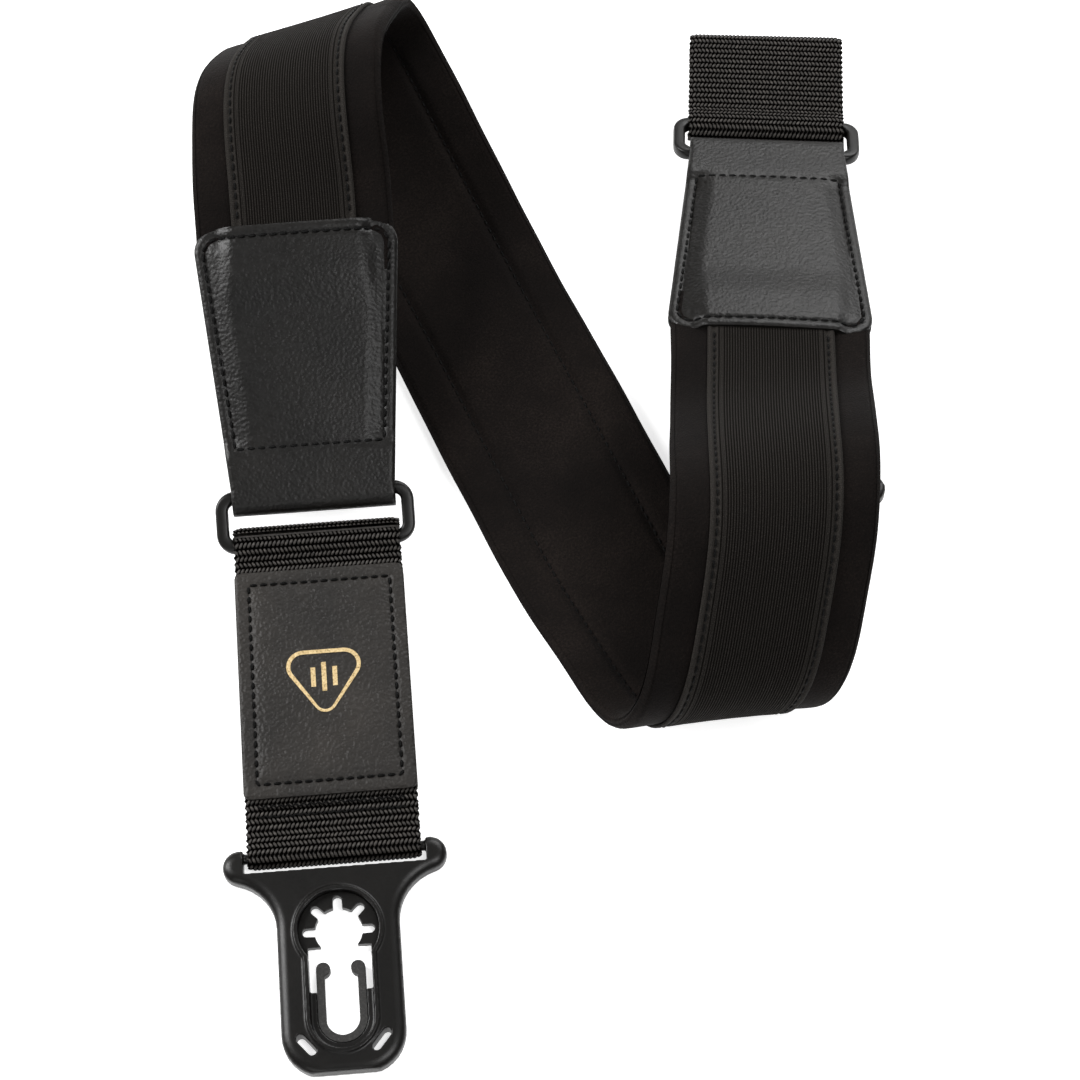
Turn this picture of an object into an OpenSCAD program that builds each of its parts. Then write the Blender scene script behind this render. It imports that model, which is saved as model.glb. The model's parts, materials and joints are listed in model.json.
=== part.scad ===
// Padded instrument strap with leather tabs, loops and slotted end locks,
// laid out folded in an N on a table. Millimetres, +Z up, table at z = 0.

/* [Padded section] */
// Width of the padded section
pad_w = 60; // [54:1:66]
// Thickness of the neoprene pad
pad_t = 5; // [4:0.5:6]
// Width of the woven band on the front
band_w = 38; // [30:1:44]
// Thickness of the woven band
band_t = 1.2; // [0.8:0.1:1.6]
// Distance between the two rows of band stitching
band_stitch_w = 34; // [26:1:40]

/* [Lay of the strap] */
// Heading of the middle stretch, degrees from the long way of the table
middle_heading = 25.6; // [23:0.1:28]
// Height of the middle stretch's centre above the table
middle_height = 5.1; // [4.8:0.1:6]
// Middle of the padded section on the table, across and along
middle_at = [-2, 37]; // [-60:1:60]
// Right half: lift off the table (centre, length, angle, slant)
right_lift = [60, 88, 18.5, -46]; // [-90:0.5:200]
// Right half: first part of the turn-over
right_turn = [125, 84, 132, -13.5]; // [-90:0.5:300]
// Right half: second part of the turn-over
right_roll = [192, 74, 67, -19.5]; // [-90:0.5:300]
// Right half: settling towards the table
right_settle = [243, 36, -19, -15]; // [-90:0.5:300]
// Left half: lift off the table (centre, length, angle, slant)
left_lift = [79, 86, 16.5, -54]; // [-90:0.5:200]
// Left half: first part of the turn-over
left_turn = [149, 50, 122, -12]; // [-90:0.5:300]
// Left half: second part of the turn-over
left_roll = [203, 80, 75, -10.5]; // [-90:0.5:300]
// Left half: settling towards the table
left_settle = [229, 36, -12.5, 34.5]; // [-90:0.5:300]
// Length from the middle of the pad to the right loop
right_reach = 348; // [336:6:354]
// Length from the middle of the pad to the left loop
left_reach = 330; // [324:6:342]

/* [Leather tabs and patches] */
// Leather thickness
leather_t = 1.6; // [1.2:0.1:2]
// Length of a tab from the loop's bar to its padded end
tab_len = 82; // [78:1:84]
// Tab width at the padded end
tab_pad_w = 63; // [62:1:68]
// Tab width at the loop
tab_ring_w = 49; // [44:1:50]
// Front patch, across and along the webbing
patch_size = [50.5, 70.5]; // [40:0.5:80]

/* [Loops and webbing] */
// Inner width of a rectangular loop
ring_in_w = 52; // [51:0.5:56]
// Distance between the two bars of a loop, centre to centre
ring_pitch = 15; // [15:1:20]
// Wire radius of a loop
ring_r = 2; // [1.6:0.1:2.2]
// Slope of the right loop
right_ring_slope = 18; // [14:1:22]
// Webbing width
web_w = 50; // [40:1:50]
// Webbing thickness
web_t = 1.6; // [1.2:0.1:1.7]
// Length of the left webbing, bar to bar
left_web_len = 97; // [90:1:110]
// Length of the doubled right webbing from the loop to its fold
right_web_rise = 31; // [28:1:50]
// Length of the right webbing from its fold to the lock
right_web_run = 163; // [150:1:165]

/* [End lock] */
// Lock thickness
lock_t = 6; // [5:0.5:7]
// Width over the two horns
lock_horn_w = 64.5; // [62:0.5:68]
// Width of the lock's body
lock_body_w = 35; // [33:1:38]
// Length from the bar to the tip
lock_len = 65; // [62:1:70]
// Radius of the button seat in the fork
seat_r = 4.7; // [4:0.1:5.2]

/* [Hidden] */

// Shift that puts the origin under the middle of the whole strap
origin_shift = [1.4, -8.2, 0];
step_len = 6;
fine = 48;
leather = "#1d1b1a";
woven = "#24211f";
neoprene = "#1f1a17";
plastic = "#121212";
glass_filled = "#2b2a29";
thread = "#0d0c0c";
gold = "#c9a86a";

// ---- Ribbon laid along bends -------------------------------------------------
// A ribbon frame is [point, travel, across, back, length so far].

// Turns v about the unit axis k by a degrees
function turned(v, k, a) = v * cos(a) + cross(k, v) * sin(a) + k * (k * v) * (1 - cos(a));

// How fast one bend turns the ribbon at length s; each bend eases in and out
function bend_rate(b, s) =
  let (u = (s - b[0]) / b[1]) abs(u) < 0.5 ? b[2] / b[1] * (1 + cos(360 * u)) : 0;

function total(v, i = 0) = i < len(v) ? v[i] + total(v, i + 1) : 0;

// The next frame one step further along the ribbon
function next_frame(f, bends, ds) =
  let (
    s = f[4] + ds / 2,
    about_travel = total([for (b = bends) bend_rate(b, s) * sin(b[3])]),
    about_across = -total([for (b = bends) bend_rate(b, s) * cos(b[3])]),
    w = (about_travel * f[1] + about_across * f[2]) * ds,
    a = norm(w),
    k = a > 0 ? w / a : [0, 0, 1],
    t = turned(f[1], k, a),
    m = (f[1] + t) / norm(f[1] + t)
  )
  [f[0] + m * ds, t, turned(f[2], k, a), turned(f[3], k, a), f[4] + ds];

// All the frames of a ribbon from a starting frame
function walk(start, bends, length, ds) =
  [for (i = 0, f = start; i <= round(length / ds); i = i + 1, f = next_frame(f, bends, ds)) f];

function reversed(frames) =
  [for (i = [len(frames) - 1:-1:1])
    let (f = frames[i]) [f[0], -f[1], -f[2], f[3], -f[4]]];

function last(v) = v[len(v) - 1];

// Solid swept along frames; each section point is [across, towards the back]
module ribbon(frames, sections) {
  n = len(sections[0]);
  m = len(frames);
  points = [for (r = [0:m - 1]) for (q = sections[r % len(sections)])
    frames[r][0] + q[0] * frames[r][2] + q[1] * frames[r][3]];
  sides = [for (r = [0:m - 2]) for (i = [0:n - 1]) let (j = (i + 1) % n)
    each [[r * n + i, (r + 1) * n + j, r * n + j], [r * n + i, (r + 1) * n + i, (r + 1) * n + j]]];
  near_cap = [for (i = [0:n - 1]) i];
  far_cap = [for (i = [n - 1:-1:0]) (m - 1) * n + i];
  polyhedron(points, concat([near_cap], sides, [far_cap]));
}

// ---- Places ------------------------------------------------------------------
middle_t = [sin(middle_heading), -cos(middle_heading), 0];
middle_e = [cos(middle_heading), sin(middle_heading), 0];
middle_p = [middle_at[0], middle_at[1], middle_height] + origin_shift;
right_start = [middle_p, middle_t, middle_e, [0, 0, 1], 0];
left_start = [middle_p, -middle_t, -middle_e, [0, 0, 1], 0];
right_bends = [right_lift, right_turn, right_roll, right_settle];
left_bends = [left_lift, left_turn, left_roll, left_settle];
right_half = walk(right_start, right_bends, right_reach, step_len);
left_half = walk(left_start, left_bends, left_reach, step_len);

// Frames from the left half's far end to the right half's, leaving out some at each end
function strap_frames(left_out, right_out) = concat(
  reversed([for (i = [0:len(left_half) - 1 - left_out]) left_half[i]]),
  [for (i = [0:len(right_half) - 1 - right_out]) right_half[i]]);

// Level cross axis of an end, and its slope down the strap
function level(v) = let (h = [v[0], v[1], 0]) h / norm(h);
function slope_of(f) = asin(-f[1][2] / norm(f[1]));

// The way a sloping piece's own y runs: outwards and down
function outward(cross_axis, slope) =
  cross([0, 0, 1], cross_axis) * cos(slope) - [0, 0, sin(slope)];

// Puts a rigid piece at p, with its x along the cross axis
module place(p, cross_axis, slope) {
  y = outward(cross_axis, slope);
  z = cross(cross_axis, y);
  multmatrix([
    [cross_axis[0], y[0], z[0], p[0]],
    [cross_axis[1], y[1], z[1], p[1]],
    [cross_axis[2], y[2], z[2], p[2]],
    [0, 0, 0, 1]
  ]) children();
}

right_end = last(right_half);
left_end = last(left_half);
right_x = level(right_end[2]);
left_x = level(left_end[2]);
right_slope = slope_of(right_end);
left_slope = slope_of(left_end);

// Distance from a tab fold's centre to its inner and outer faces
tab_inner = pad_t / 2;
tab_outer = tab_inner + leather_t;
// Running space between a webbing loop and its bar
loop_gap = 0.3;
// How far a tab's fold and a webbing's loop hang slack past the bar
fold_slack = 1.6;
web_slack = 2.2;
ring_wrap = ring_r + loop_gap;
lock_bar_r = 1.5;
lock_wrap = lock_bar_r + loop_gap;
// Half thickness of two webbing layers pressed together
double_half = web_t + 0.1;
lock_bar_h = lock_wrap + web_t;

// Left side: loop, webbing and lock in a line
left_ring_bar = left_end[0] + ring_pitch * outward(left_x, left_slope);
left_web_slope = asin((left_ring_bar[2] - lock_bar_h) / left_web_len);
left_lock_bar = left_ring_bar + left_web_len * outward(left_x, left_web_slope);

// Right side: the webbing leaves the loop, folds back under and runs to the lock
right_ring_bar = right_end[0] + ring_pitch * outward(right_x, right_ring_slope);
fold_len = 12;
fold_slant = -0.7;
// An eased fold rises by this share of its own length
fold_rise = 0.39 * fold_len;
table_gap = 0.25;
web_slope = asin((right_ring_bar[2] - double_half - table_gap - fold_rise) / right_web_rise);
right_web_t = outward(right_x, web_slope);
right_web_start = [right_ring_bar, right_web_t, right_x, cross(right_web_t, right_x), 0];
right_web_len = right_web_rise + fold_len + right_web_run;
// Where the run lifts off the table before the lock, and where it levels again
lock_lift_at = 62;
lock_level_at = 14;
right_web_bends = [
  [right_web_rise + fold_len / 2, fold_len, 180 - web_slope, fold_slant],
  [right_web_len - lock_lift_at, 40, 9, 0],
  [right_web_len - lock_level_at, 24, -2, 0]
];
right_web = walk(right_web_start, right_web_bends, right_web_len, 1);
right_web_end = last(right_web);
lock_bar_rise = lock_wrap + web_t / 2 - double_half / 2;
right_lock_bar = right_web_end[0] + lock_bar_rise * right_web_end[3];
right_lock_x = -level(right_web_end[2]);
right_lock_slope = slope_of(right_web_end);

// ---- Neoprene pad and woven band ---------------------------------------------
// Rounded section with its flats split where the band's edges and middle run
function pad_section(w, t, r, n = 3) =
  [for (side = [1, -1]) each concat(
    [for (x = [-1:1]) [-side * x * band_w / 2, side * t / 2]],
    [for (c = [1, 0]) for (i = [0:n - 1]) let (a = 90 * (c == 1 ? n - 1 - i : -i) / (n - 1))
      [-side * (w / 2 - r + r * cos(a)), side * ((c == 1 ? 1 : -1) * (t / 2 - r) + r * sin(a))]])];

// Flat section between two heights, split in the middle; front heights are negative
function strip_section(w, lo, hi, x = 0) =
  [for (k = [1, 0, -1]) [x + k * w / 2, hi], for (k = [-1, 0, 1]) [x + k * w / 2, lo]];

pad_cut = 11;
band_cut = ceil(tab_len / step_len);
band_top = -pad_t / 2 - band_t;

module neoprene_pad() {
  color(neoprene) ribbon(strap_frames(pad_cut, pad_cut), [pad_section(pad_w, pad_t, 2.2)]);
}

module front_band() {
  color(woven) ribbon(strap_frames(band_cut, band_cut), [strip_section(band_w, band_top, -pad_t / 2)]);
}

module band_stitching() {
  color(thread) for (x = [-1, 1] * band_stitch_w / 2)
    ribbon(strap_frames(band_cut, band_cut), [strip_section(0.8, band_top - 0.15, band_top, x)]);
}

// ---- Leather tabs --------------------------------------------------------------
// Tab outline, inset all round, from the loop's bar (y = 0) back over the pad
function tab_points(inset, bar_y, r) =
  let (
    w_bar = tab_ring_w / 2 - inset,
    w_pad = tab_pad_w / 2 - inset,
    y_pad = -tab_len + inset
  )
  concat([[w_bar, bar_y], [-w_bar, bar_y]],
    [for (i = [0:6]) let (a = 180 + 15 * i) [-w_pad + r + r * cos(a), y_pad + r + r * sin(a)]],
    [for (i = [0:6]) let (a = 270 + 15 * i) [w_pad - r + r * cos(a), y_pad + r + r * sin(a)]]);

// Half tube about the cross axis, open towards -y
module half_tube(width, inner, outer) {
  rotate([90, 0, 90]) linear_extrude(width, center = true) intersection() {
    difference() {
      circle(outer, $fn = fine);
      circle(inner, $fn = fine);
    }
    translate([0, -outer]) square([outer, 2 * outer]);
  }
}

module tab() {
  for (z = [tab_inner, -tab_outer])
    translate([0, 0, z]) linear_extrude(leather_t) polygon(tab_points(0, fold_slack, 8));
  translate([0, fold_slack, 0]) half_tube(tab_ring_w, tab_inner, tab_outer);
}

// Foam stiffener between the two leather faces, from the pad's end to the loop
module tab_filler() {
  translate([0, 0, -tab_inner]) linear_extrude(pad_t) intersection() {
    polygon(tab_points(1.2, -4, 7));
    translate([-tab_pad_w, -pad_cut * step_len]) square([2 * tab_pad_w, pad_cut * step_len]);
  }
}

module tab_stitching() {
  translate([0, 0, tab_outer]) linear_extrude(0.3) difference() {
    polygon(tab_points(3, -14, 6));
    polygon(tab_points(3.7, -14.7, 5.3));
  }
}

module on_left_end() { place(left_end[0], left_x, left_slope) children(); }
module on_right_end() { place(right_end[0], right_x, right_slope) children(); }
module left_tab() { color(leather) on_left_end() tab(); }
module right_tab() { color(leather) on_right_end() tab(); }
module left_tab_filler() { color(neoprene) on_left_end() tab_filler(); }
module right_tab_filler() { color(neoprene) on_right_end() tab_filler(); }
module left_tab_stitching() { color(thread) on_left_end() tab_stitching(); }
module right_tab_stitching() { color(thread) on_right_end() tab_stitching(); }

// ---- Rectangular loops ----------------------------------------------------------
ring_corner = 4;

// One bar of the loop along x, at the given y
module ring_bar(y) {
  l = ring_in_w + 2 * ring_r - 2 * ring_corner;
  translate([-l / 2, y, 0]) rotate([0, 90, 0]) cylinder(r = ring_r, h = l, $fn = fine);
}

module ring_loop() {
  half_w = ring_in_w / 2 + ring_r;
  for (y = [0, ring_pitch]) ring_bar(y);
  for (side = [-1, 1]) {
    translate([side * half_w, ring_corner, 0]) rotate([-90, 0, 0])
      cylinder(r = ring_r, h = ring_pitch - 2 * ring_corner, $fn = fine);
    for (far = [0, 1])
      translate([side * (half_w - ring_corner), far ? ring_pitch - ring_corner : ring_corner, 0])
        rotate([0, 0, side > 0 ? (far ? 0 : 270) : (far ? 90 : 180)])
          rotate_extrude(angle = 90, $fn = fine) translate([ring_corner, 0]) circle(ring_r, $fn = 24);
  }
}

module left_ring() { color(plastic) on_left_end() ring_loop(); }
module right_ring() { color(plastic) place(right_end[0], right_x, right_ring_slope) ring_loop(); }

// ---- Left webbing, patches and stitching -----------------------------------------
// Eases from 0 to 1
function ease(u) = let (c = min(max(u, 0), 1)) c * c * (3 - 2 * c);

pinch = 7;

// Half height of the doubled webbing along its length
function loop_half(y) =
  double_half + (ring_wrap + web_t - double_half) * (1 - ease(y / pinch))
  + (lock_wrap + web_t - double_half) * (1 - ease((left_web_len - y) / pinch));

// Drop-shaped hole round a bar, closing at the pinch; side 1 opens towards +y
function drop(r, side, slack) = concat(
  [for (a = [90:15:270]) [side * (r * cos(a) - slack), r * sin(a)]],
  [for (u = [0.05, 0.25, 0.55]) [side * u * pinch, -r * (1 - ease(u))]],
  [[side * 0.85 * pinch, 0]],
  [for (u = [0.55, 0.25, 0.05]) [side * u * pinch, r * (1 - ease(u))]]);

module left_web_profile() {
  n = 12;
  top = [for (i = [0:n]) let (y = pinch * i / n) [y, loop_half(y)]];
  far = [for (i = [n:-1:0]) let (y = left_web_len - pinch * i / n) [y, loop_half(y)]];
  far_r = lock_wrap + web_t;
  near_r = ring_wrap + web_t;
  upper = concat(top, far);
  lower = [for (i = [len(upper) - 1:-1:0]) [upper[i][0], -upper[i][1]]];
  far_end = [for (a = [75:-15:-75]) [left_web_len + far_r * cos(a), far_r * sin(a)]];
  near_end = [for (a = [270:-15:90]) [near_r * cos(a) - web_slack, near_r * sin(a)]];
  difference() {
    polygon(concat(upper, far_end, lower, near_end));
    polygon(drop(ring_wrap, 1, web_slack));
    translate([left_web_len, 0]) polygon(drop(lock_wrap, -1, 0));
  }
}

module on_left_webbing(z) {
  place(left_ring_bar, left_x, left_web_slope) translate([0, 0, z]) children();
}

module left_webbing() {
  color(woven) on_left_webbing(0)
    rotate([90, 0, 90]) linear_extrude(web_w, center = true) left_web_profile();
}

patch_y = pinch + 2.5;

// Patch outline on the webbing, inset from the patch's edges
module patch_outline(inset) {
  r = 2;
  x = patch_size[0] / 2 - inset - r;
  y0 = patch_y + inset + r;
  y1 = patch_y + patch_size[1] - inset - r;
  polygon([for (c = [[x, y1, 0], [-x, y1, 90], [-x, y0, 180], [x, y0, 270]]) for (a = [0:30:90])
    [c[0] + r * cos(c[2] + a), c[1] + r * sin(c[2] + a)]]);
}

module front_patch() {
  color(leather) on_left_webbing(double_half) linear_extrude(leather_t) patch_outline(0);
}

module back_patch() {
  color(leather) on_left_webbing(-double_half - leather_t) linear_extrude(leather_t) patch_outline(0);
}

module patch_stitching() {
  color(thread) on_left_webbing(double_half + leather_t) linear_extrude(0.3) difference() {
    patch_outline(4);
    patch_outline(4.7);
  }
}

// Bar tacks across the doubled webbing below the patch
module left_web_stitching() {
  color(thread) for (y = [2, 5]) on_left_webbing(double_half)
    translate([-web_w / 2 + 4, patch_y + patch_size[1] + y, 0]) cube([web_w - 8, 0.8, 0.3]);
}

// Foil emblem: a plain plectrum outline round three upright bars
module plectrum(r) {
  hull() {
    for (side = [-1, 1]) translate([side * 6, 4]) circle(r, $fn = 32);
    translate([0, -7]) circle(r * 0.7, $fn = 32);
  }
}

module patch_emblem() {
  color(gold) on_left_webbing(double_half + leather_t)
    translate([0, patch_y + patch_size[1] / 2, 0]) rotate(180) linear_extrude(0.15) {
      difference() {
        plectrum(5);
        plectrum(3.8);
      }
      for (i = [-1:1]) translate([3.2 * i - 0.7, -4 + 1.5 * abs(i)]) square([1.4, 9 - 3 * abs(i)]);
    }
}

// ---- Right webbing and slider --------------------------------------------------------
bar_offset = ring_wrap + web_t / 2;
layer_offset = double_half / 2;
slider_at = right_web_rise + fold_len + 95;
slider_pitch = 10.5;
slider_bar_r = 1.4;
slider_rise = 3;
slider_hook = slider_bar_r + 0.2 + web_t / 2;
slider_mid = layer_offset + slider_hook + web_t + 0.1 - layer_offset * 2;

hump_half = 9;

// Smooth hump over a bar
function hump(s, at) =
  abs(s - at) < hump_half ? slider_rise * (1 + cos(180 * (s - at) / hump_half)) / 2 : 0;

// How far the long layer and the return layer lie from the middle of the doubled webbing
function long_layer(s) =
  -layer_offset - (bar_offset - layer_offset) * (1 - ease(s / pinch))
  + hump(s, slider_at - slider_pitch) + hump(s, slider_at + slider_pitch);
function return_layer(s) =
  layer_offset + (bar_offset - layer_offset) * (1 - ease(s / pinch))
  + (s < slider_at - slider_pitch ? hump(s, slider_at - slider_pitch)
    : slider_rise + (slider_mid + slider_hook - slider_rise - layer_offset)
      * ease((s - slider_at + slider_pitch) / slider_pitch));
function lock_layer(s) =
  layer_offset + 2 * (lock_wrap + web_t / 2 - layer_offset) * (1 - ease((right_web_len - s) / pinch));

// Frames that carry a layer round a bar: [centre, travel, across, back], turned about the bar
function wrap_frames(centre, f, from, to) = [for (a = [from:(to > from ? 20 : -20):to])
  [centre, turned(f[1], f[2], a), f[2], turned(f[3], f[2], a)]];

// The same frame met on the way back
function flipped(f) = [f[0], -f[1], f[2], -f[3]];

web_corners = [[1, 1], [-1, 1], [-1, -1], [1, -1]] / 2;

function web_sections(offsets) =
  [for (h = offsets) [for (c = web_corners) [c[0] * web_w, h + c[1] * web_t]]];

web_frames = len(right_web) - 1;
lock_return = 25;
lock_hook = lock_wrap + web_t / 2;
fold_mid = right_web_rise + fold_len / 2;

// Every frame counts near the bars, the fold and the slider, and every third elsewhere
function kept(i) = min(i, web_frames - i) <= pinch || abs(i - fold_mid) <= fold_len / 2
  || abs(i - slider_at) <= slider_pitch + 2 || i % 3 == 0;

// Where both layers leave the slack end of the loop round the bar
slack_start = [right_ring_bar - web_slack * right_web_t, right_web_t, right_x, right_web[0][3]];

// The long layer goes round the loop's bar, along the whole run and round the lock's bar
module right_webbing() {
  run = [for (i = [0:web_frames]) if (kept(i)) right_web[i]];
  back = [for (i = [web_frames:-1:web_frames - lock_return]) if (kept(i)) right_web[i]];
  color(woven) ribbon(
    concat(wrap_frames(slack_start[0], slack_start, 180, 0), run,
      wrap_frames(right_lock_bar, right_web_end, -20, -160), [for (f = back) flipped(f)]),
    web_sections(concat([for (a = [180:-20:0]) -bar_offset], [for (f = run) long_layer(f[4])],
      [for (a = [20:20:160]) -lock_hook], [for (f = back) -lock_layer(f[4])])));
}

slider_frame = right_web[slider_at];
slider_x = level(slider_frame[2]);

module on_slider(h) {
  place(slider_frame[0] + h * slider_frame[3], slider_x, 0) children();
}

// The return layer ends in a hook round the slider's centre bar
module right_webbing_return() {
  centre = slider_frame[0] + slider_mid * slider_frame[3];
  layer = [for (i = [0:slider_at]) if (kept(i)) right_web[i]];
  color(woven) ribbon(concat([slack_start], layer, wrap_frames(centre, slider_frame, 20, 180)),
    web_sections(concat([bar_offset], [for (f = layer) return_layer(f[4])],
      [for (a = [20:20:180]) slider_hook])));
}

// How far the hidden stitch lines stand off the webbing
stitch_gap = 0.08;

// Stitch lines that hold the return layer and the lock end down
module right_web_stitching() {
  color(thread) for (s = [right_web_len - 20, right_web_len - 12]) {
    f = right_web[s];
    place(f[0] + (layer_offset + web_t / 2 + stitch_gap) * f[3], level(f[2]), -slope_of(f))
      translate([-web_w / 2 + 4, 0, 0]) cube([web_w - 8, 0.8, 0.3]);
  }
}

// Three-bar slider: end bars under the webbing, centre bar in the return's hook
module slider() {
  half = web_w / 2 + 1.2;
  low = -double_half + slider_bar_r;
  color(plastic) {
    for (y = [-slider_pitch, 0, slider_pitch])
      on_slider(y == 0 ? slider_mid : low) translate([-half - 1, y, 0]) rotate([0, 90, 0])
        cylinder(r = slider_bar_r, h = 2 * half + 2, $fn = fine);
    for (side = [-1, 1]) on_slider(0) translate([side * (half + 1.25), 0, 0]) rotate([90, 0, 90])
      linear_extrude(2.5, center = true) polygon([
        [-12.5, low - slider_bar_r], [12.5, low - slider_bar_r], [12.5, low + 2],
        [4, slider_mid + 2], [-4, slider_mid + 2], [-12.5, low + 2]]);
  }
}

// ---- End locks --------------------------------------------------------------------
// A lock's own y runs from its bar to its tip, with z = 0 at its underside
star_y = 23.5;
star_r = 11.6;
fork_out = 7;
fork_y = 49;
fork_top = 41;
channel_half = 9;
floor_t = 4.2;
slot_half = 26.3;
slot_y = 5;

// Body outline: horns, concave necks and a rounded tip
module lock_outline() {
  nose_r = 4.9;
  nose = [lock_horn_w / 2 - nose_r, 2.6];
  half = lock_body_w / 2;
  neck_r = 15;
  neck = [half + neck_r, nose[1] + sqrt(pow(nose_r + neck_r, 2) - pow(half + neck_r - nose[0], 2))];
  meet = atan2(neck[1] - nose[1], neck[0] - nose[0]);
  corner = 12;
  side = concat(
    [for (i = [0:10]) let (a = -100 + (meet + 100) * i / 10) nose + nose_r * [cos(a), sin(a)]],
    [for (i = [1:8]) let (a = meet + 180 - meet * i / 8) neck + neck_r * [cos(a), sin(a)]],
    [for (a = [0:10:70]) [half - corner + corner * cos(a), lock_len - corner + corner * sin(a)]]);
  polygon(concat(side, [for (i = [len(side) - 1:-1:0]) [-side[i][0], side[i][1]]]));
}

// Channel that the strap button slides along, from the finger hole down to the fork
module channel_outline(grow) {
  end_r = fork_out + 2 + grow;
  translate([0, star_y]) circle(star_r + grow, $fn = fine);
  translate([0, fork_y]) circle(end_r, $fn = fine);
  translate([-end_r, star_y]) square([2 * end_r, fork_y - star_y]);
}

module fork_bed() {
  translate([0, fork_y]) circle(fork_out, $fn = fine);
  translate([-fork_out, fork_top - 1]) square([2 * fork_out, fork_y - fork_top + 1]);
  translate([-channel_half, star_y]) square([2 * channel_half, fork_top - star_y]);
}

// Small slanted slot beside the tip
module tip_slot(side) {
  translate([side * 10.6, 56.2]) rotate(side * -50) {
    for (end = [-1, 1]) translate([end * 2.4, 0]) circle(1.25, $fn = 24);
    translate([-2.4, -1.25]) square([4.8, 2.5]);
  }
}

module lock_body() {
  difference() {
    union() {
      linear_extrude(lock_t) lock_outline();
      linear_extrude(lock_t + 0.6) channel_outline(1.3);
    }
    translate([-slot_half, -6, -1]) cube([2 * slot_half, 6 + slot_y, lock_t + 2]);
    translate([0, 0, floor_t]) linear_extrude(lock_t) channel_outline(0);
    translate([0, 0, -1]) linear_extrude(lock_t + 3) {
      translate([0, star_y]) circle(star_r, $fn = fine);
      fork_bed();
      for (side = [-1, 1]) tip_slot(side);
    }
  }
  translate([-slot_half - 0.5, 0, lock_bar_h]) rotate([0, 90, 0])
    cylinder(r = lock_bar_r, h = 2 * slot_half + 1, $fn = fine);
}

// Plate with short fingers round the hole where the strap button enters
module lock_finger_plate() {
  translate([0, 0, 1.4]) linear_extrude(floor_t - 1.4) difference() {
    translate([0, star_y]) circle(star_r, $fn = fine);
    translate([0, star_y]) circle(6.8, $fn = fine);
    for (a = [-180:45:0]) translate([0, star_y]) rotate(a) {
      translate([0, -1.3]) square([9, 2.6]);
      translate([9, 0]) circle(1.3, $fn = 24);
    }
    translate([-channel_half, star_y + 4.5]) square([2 * channel_half, star_r]);
  }
}

// Sprung horseshoe that snaps round the button's neck
module lock_fork() {
  arm = fork_out - seat_r;
  tip_y = 34.5;
  difference() {
    translate([0, 0, 0.8]) linear_extrude(floor_t - 0.8) {
      translate([0, fork_y]) circle(fork_out, $fn = fine);
      for (side = [-1, 1]) {
        translate([side * (seat_r + arm / 2) - arm / 2, tip_y]) square([arm, fork_y - tip_y]);
        translate([side * (seat_r + arm / 2 - 0.9), tip_y]) circle(arm / 2 + 0.9, $fn = 32);
      }
    }
    translate([0, fork_y, -1]) cylinder(r = seat_r, h = lock_t + 2, $fn = fine);
    translate([-seat_r, 38, -1]) cube([2 * seat_r, fork_y - 38, lock_t + 2]);
  }
}

module on_left_lock() {
  place(left_lock_bar, left_x, 0) translate([0, 0, -lock_bar_h]) children();
}
module on_right_lock() {
  place(right_lock_bar, right_lock_x, right_lock_slope) rotate([0, 180, 0])
    translate([0, 0, -lock_bar_h]) children();
}

module left_lock_body() { color(plastic) on_left_lock() lock_body(); }
module left_lock_fork() { color(glass_filled) on_left_lock() lock_fork(); }
module left_lock_finger_plate() { color(plastic) on_left_lock() lock_finger_plate(); }
module right_lock_body() { color(plastic) on_right_lock() lock_body(); }
module right_lock_fork() { color(glass_filled) on_right_lock() lock_fork(); }
module right_lock_finger_plate() { color(plastic) on_right_lock() lock_finger_plate(); }

neoprene_pad();
front_band();
band_stitching();
left_tab();
right_tab();
left_tab_filler();
right_tab_filler();
left_tab_stitching();
right_tab_stitching();
left_ring();
right_ring();
left_webbing();
left_web_stitching();
front_patch();
back_patch();
patch_stitching();
patch_emblem();
left_lock_body();
left_lock_fork();
left_lock_finger_plate();
right_webbing();
right_webbing_return();
right_web_stitching();
slider();
right_lock_body();
right_lock_fork();
right_lock_finger_plate();
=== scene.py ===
import json
import math
import bmesh
import bpy
import numpy as np
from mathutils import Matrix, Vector


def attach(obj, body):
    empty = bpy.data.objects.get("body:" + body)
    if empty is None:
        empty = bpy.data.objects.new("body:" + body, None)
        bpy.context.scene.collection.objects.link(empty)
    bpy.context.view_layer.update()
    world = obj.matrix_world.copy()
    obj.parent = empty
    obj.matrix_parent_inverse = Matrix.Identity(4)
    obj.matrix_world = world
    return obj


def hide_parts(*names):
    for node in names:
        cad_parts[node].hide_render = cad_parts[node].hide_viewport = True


# Padded instrument strap, laid out folded in an N. Lengths are millimetres until a mesh is made.
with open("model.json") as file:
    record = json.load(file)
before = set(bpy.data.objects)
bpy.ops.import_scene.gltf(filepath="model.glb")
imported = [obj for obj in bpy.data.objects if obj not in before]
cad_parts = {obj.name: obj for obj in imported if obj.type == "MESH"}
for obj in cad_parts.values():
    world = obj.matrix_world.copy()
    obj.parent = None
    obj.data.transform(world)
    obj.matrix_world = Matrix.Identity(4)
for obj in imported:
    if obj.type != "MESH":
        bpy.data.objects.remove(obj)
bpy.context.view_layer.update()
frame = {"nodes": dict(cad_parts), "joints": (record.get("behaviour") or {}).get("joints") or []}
MM = 0.001

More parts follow.
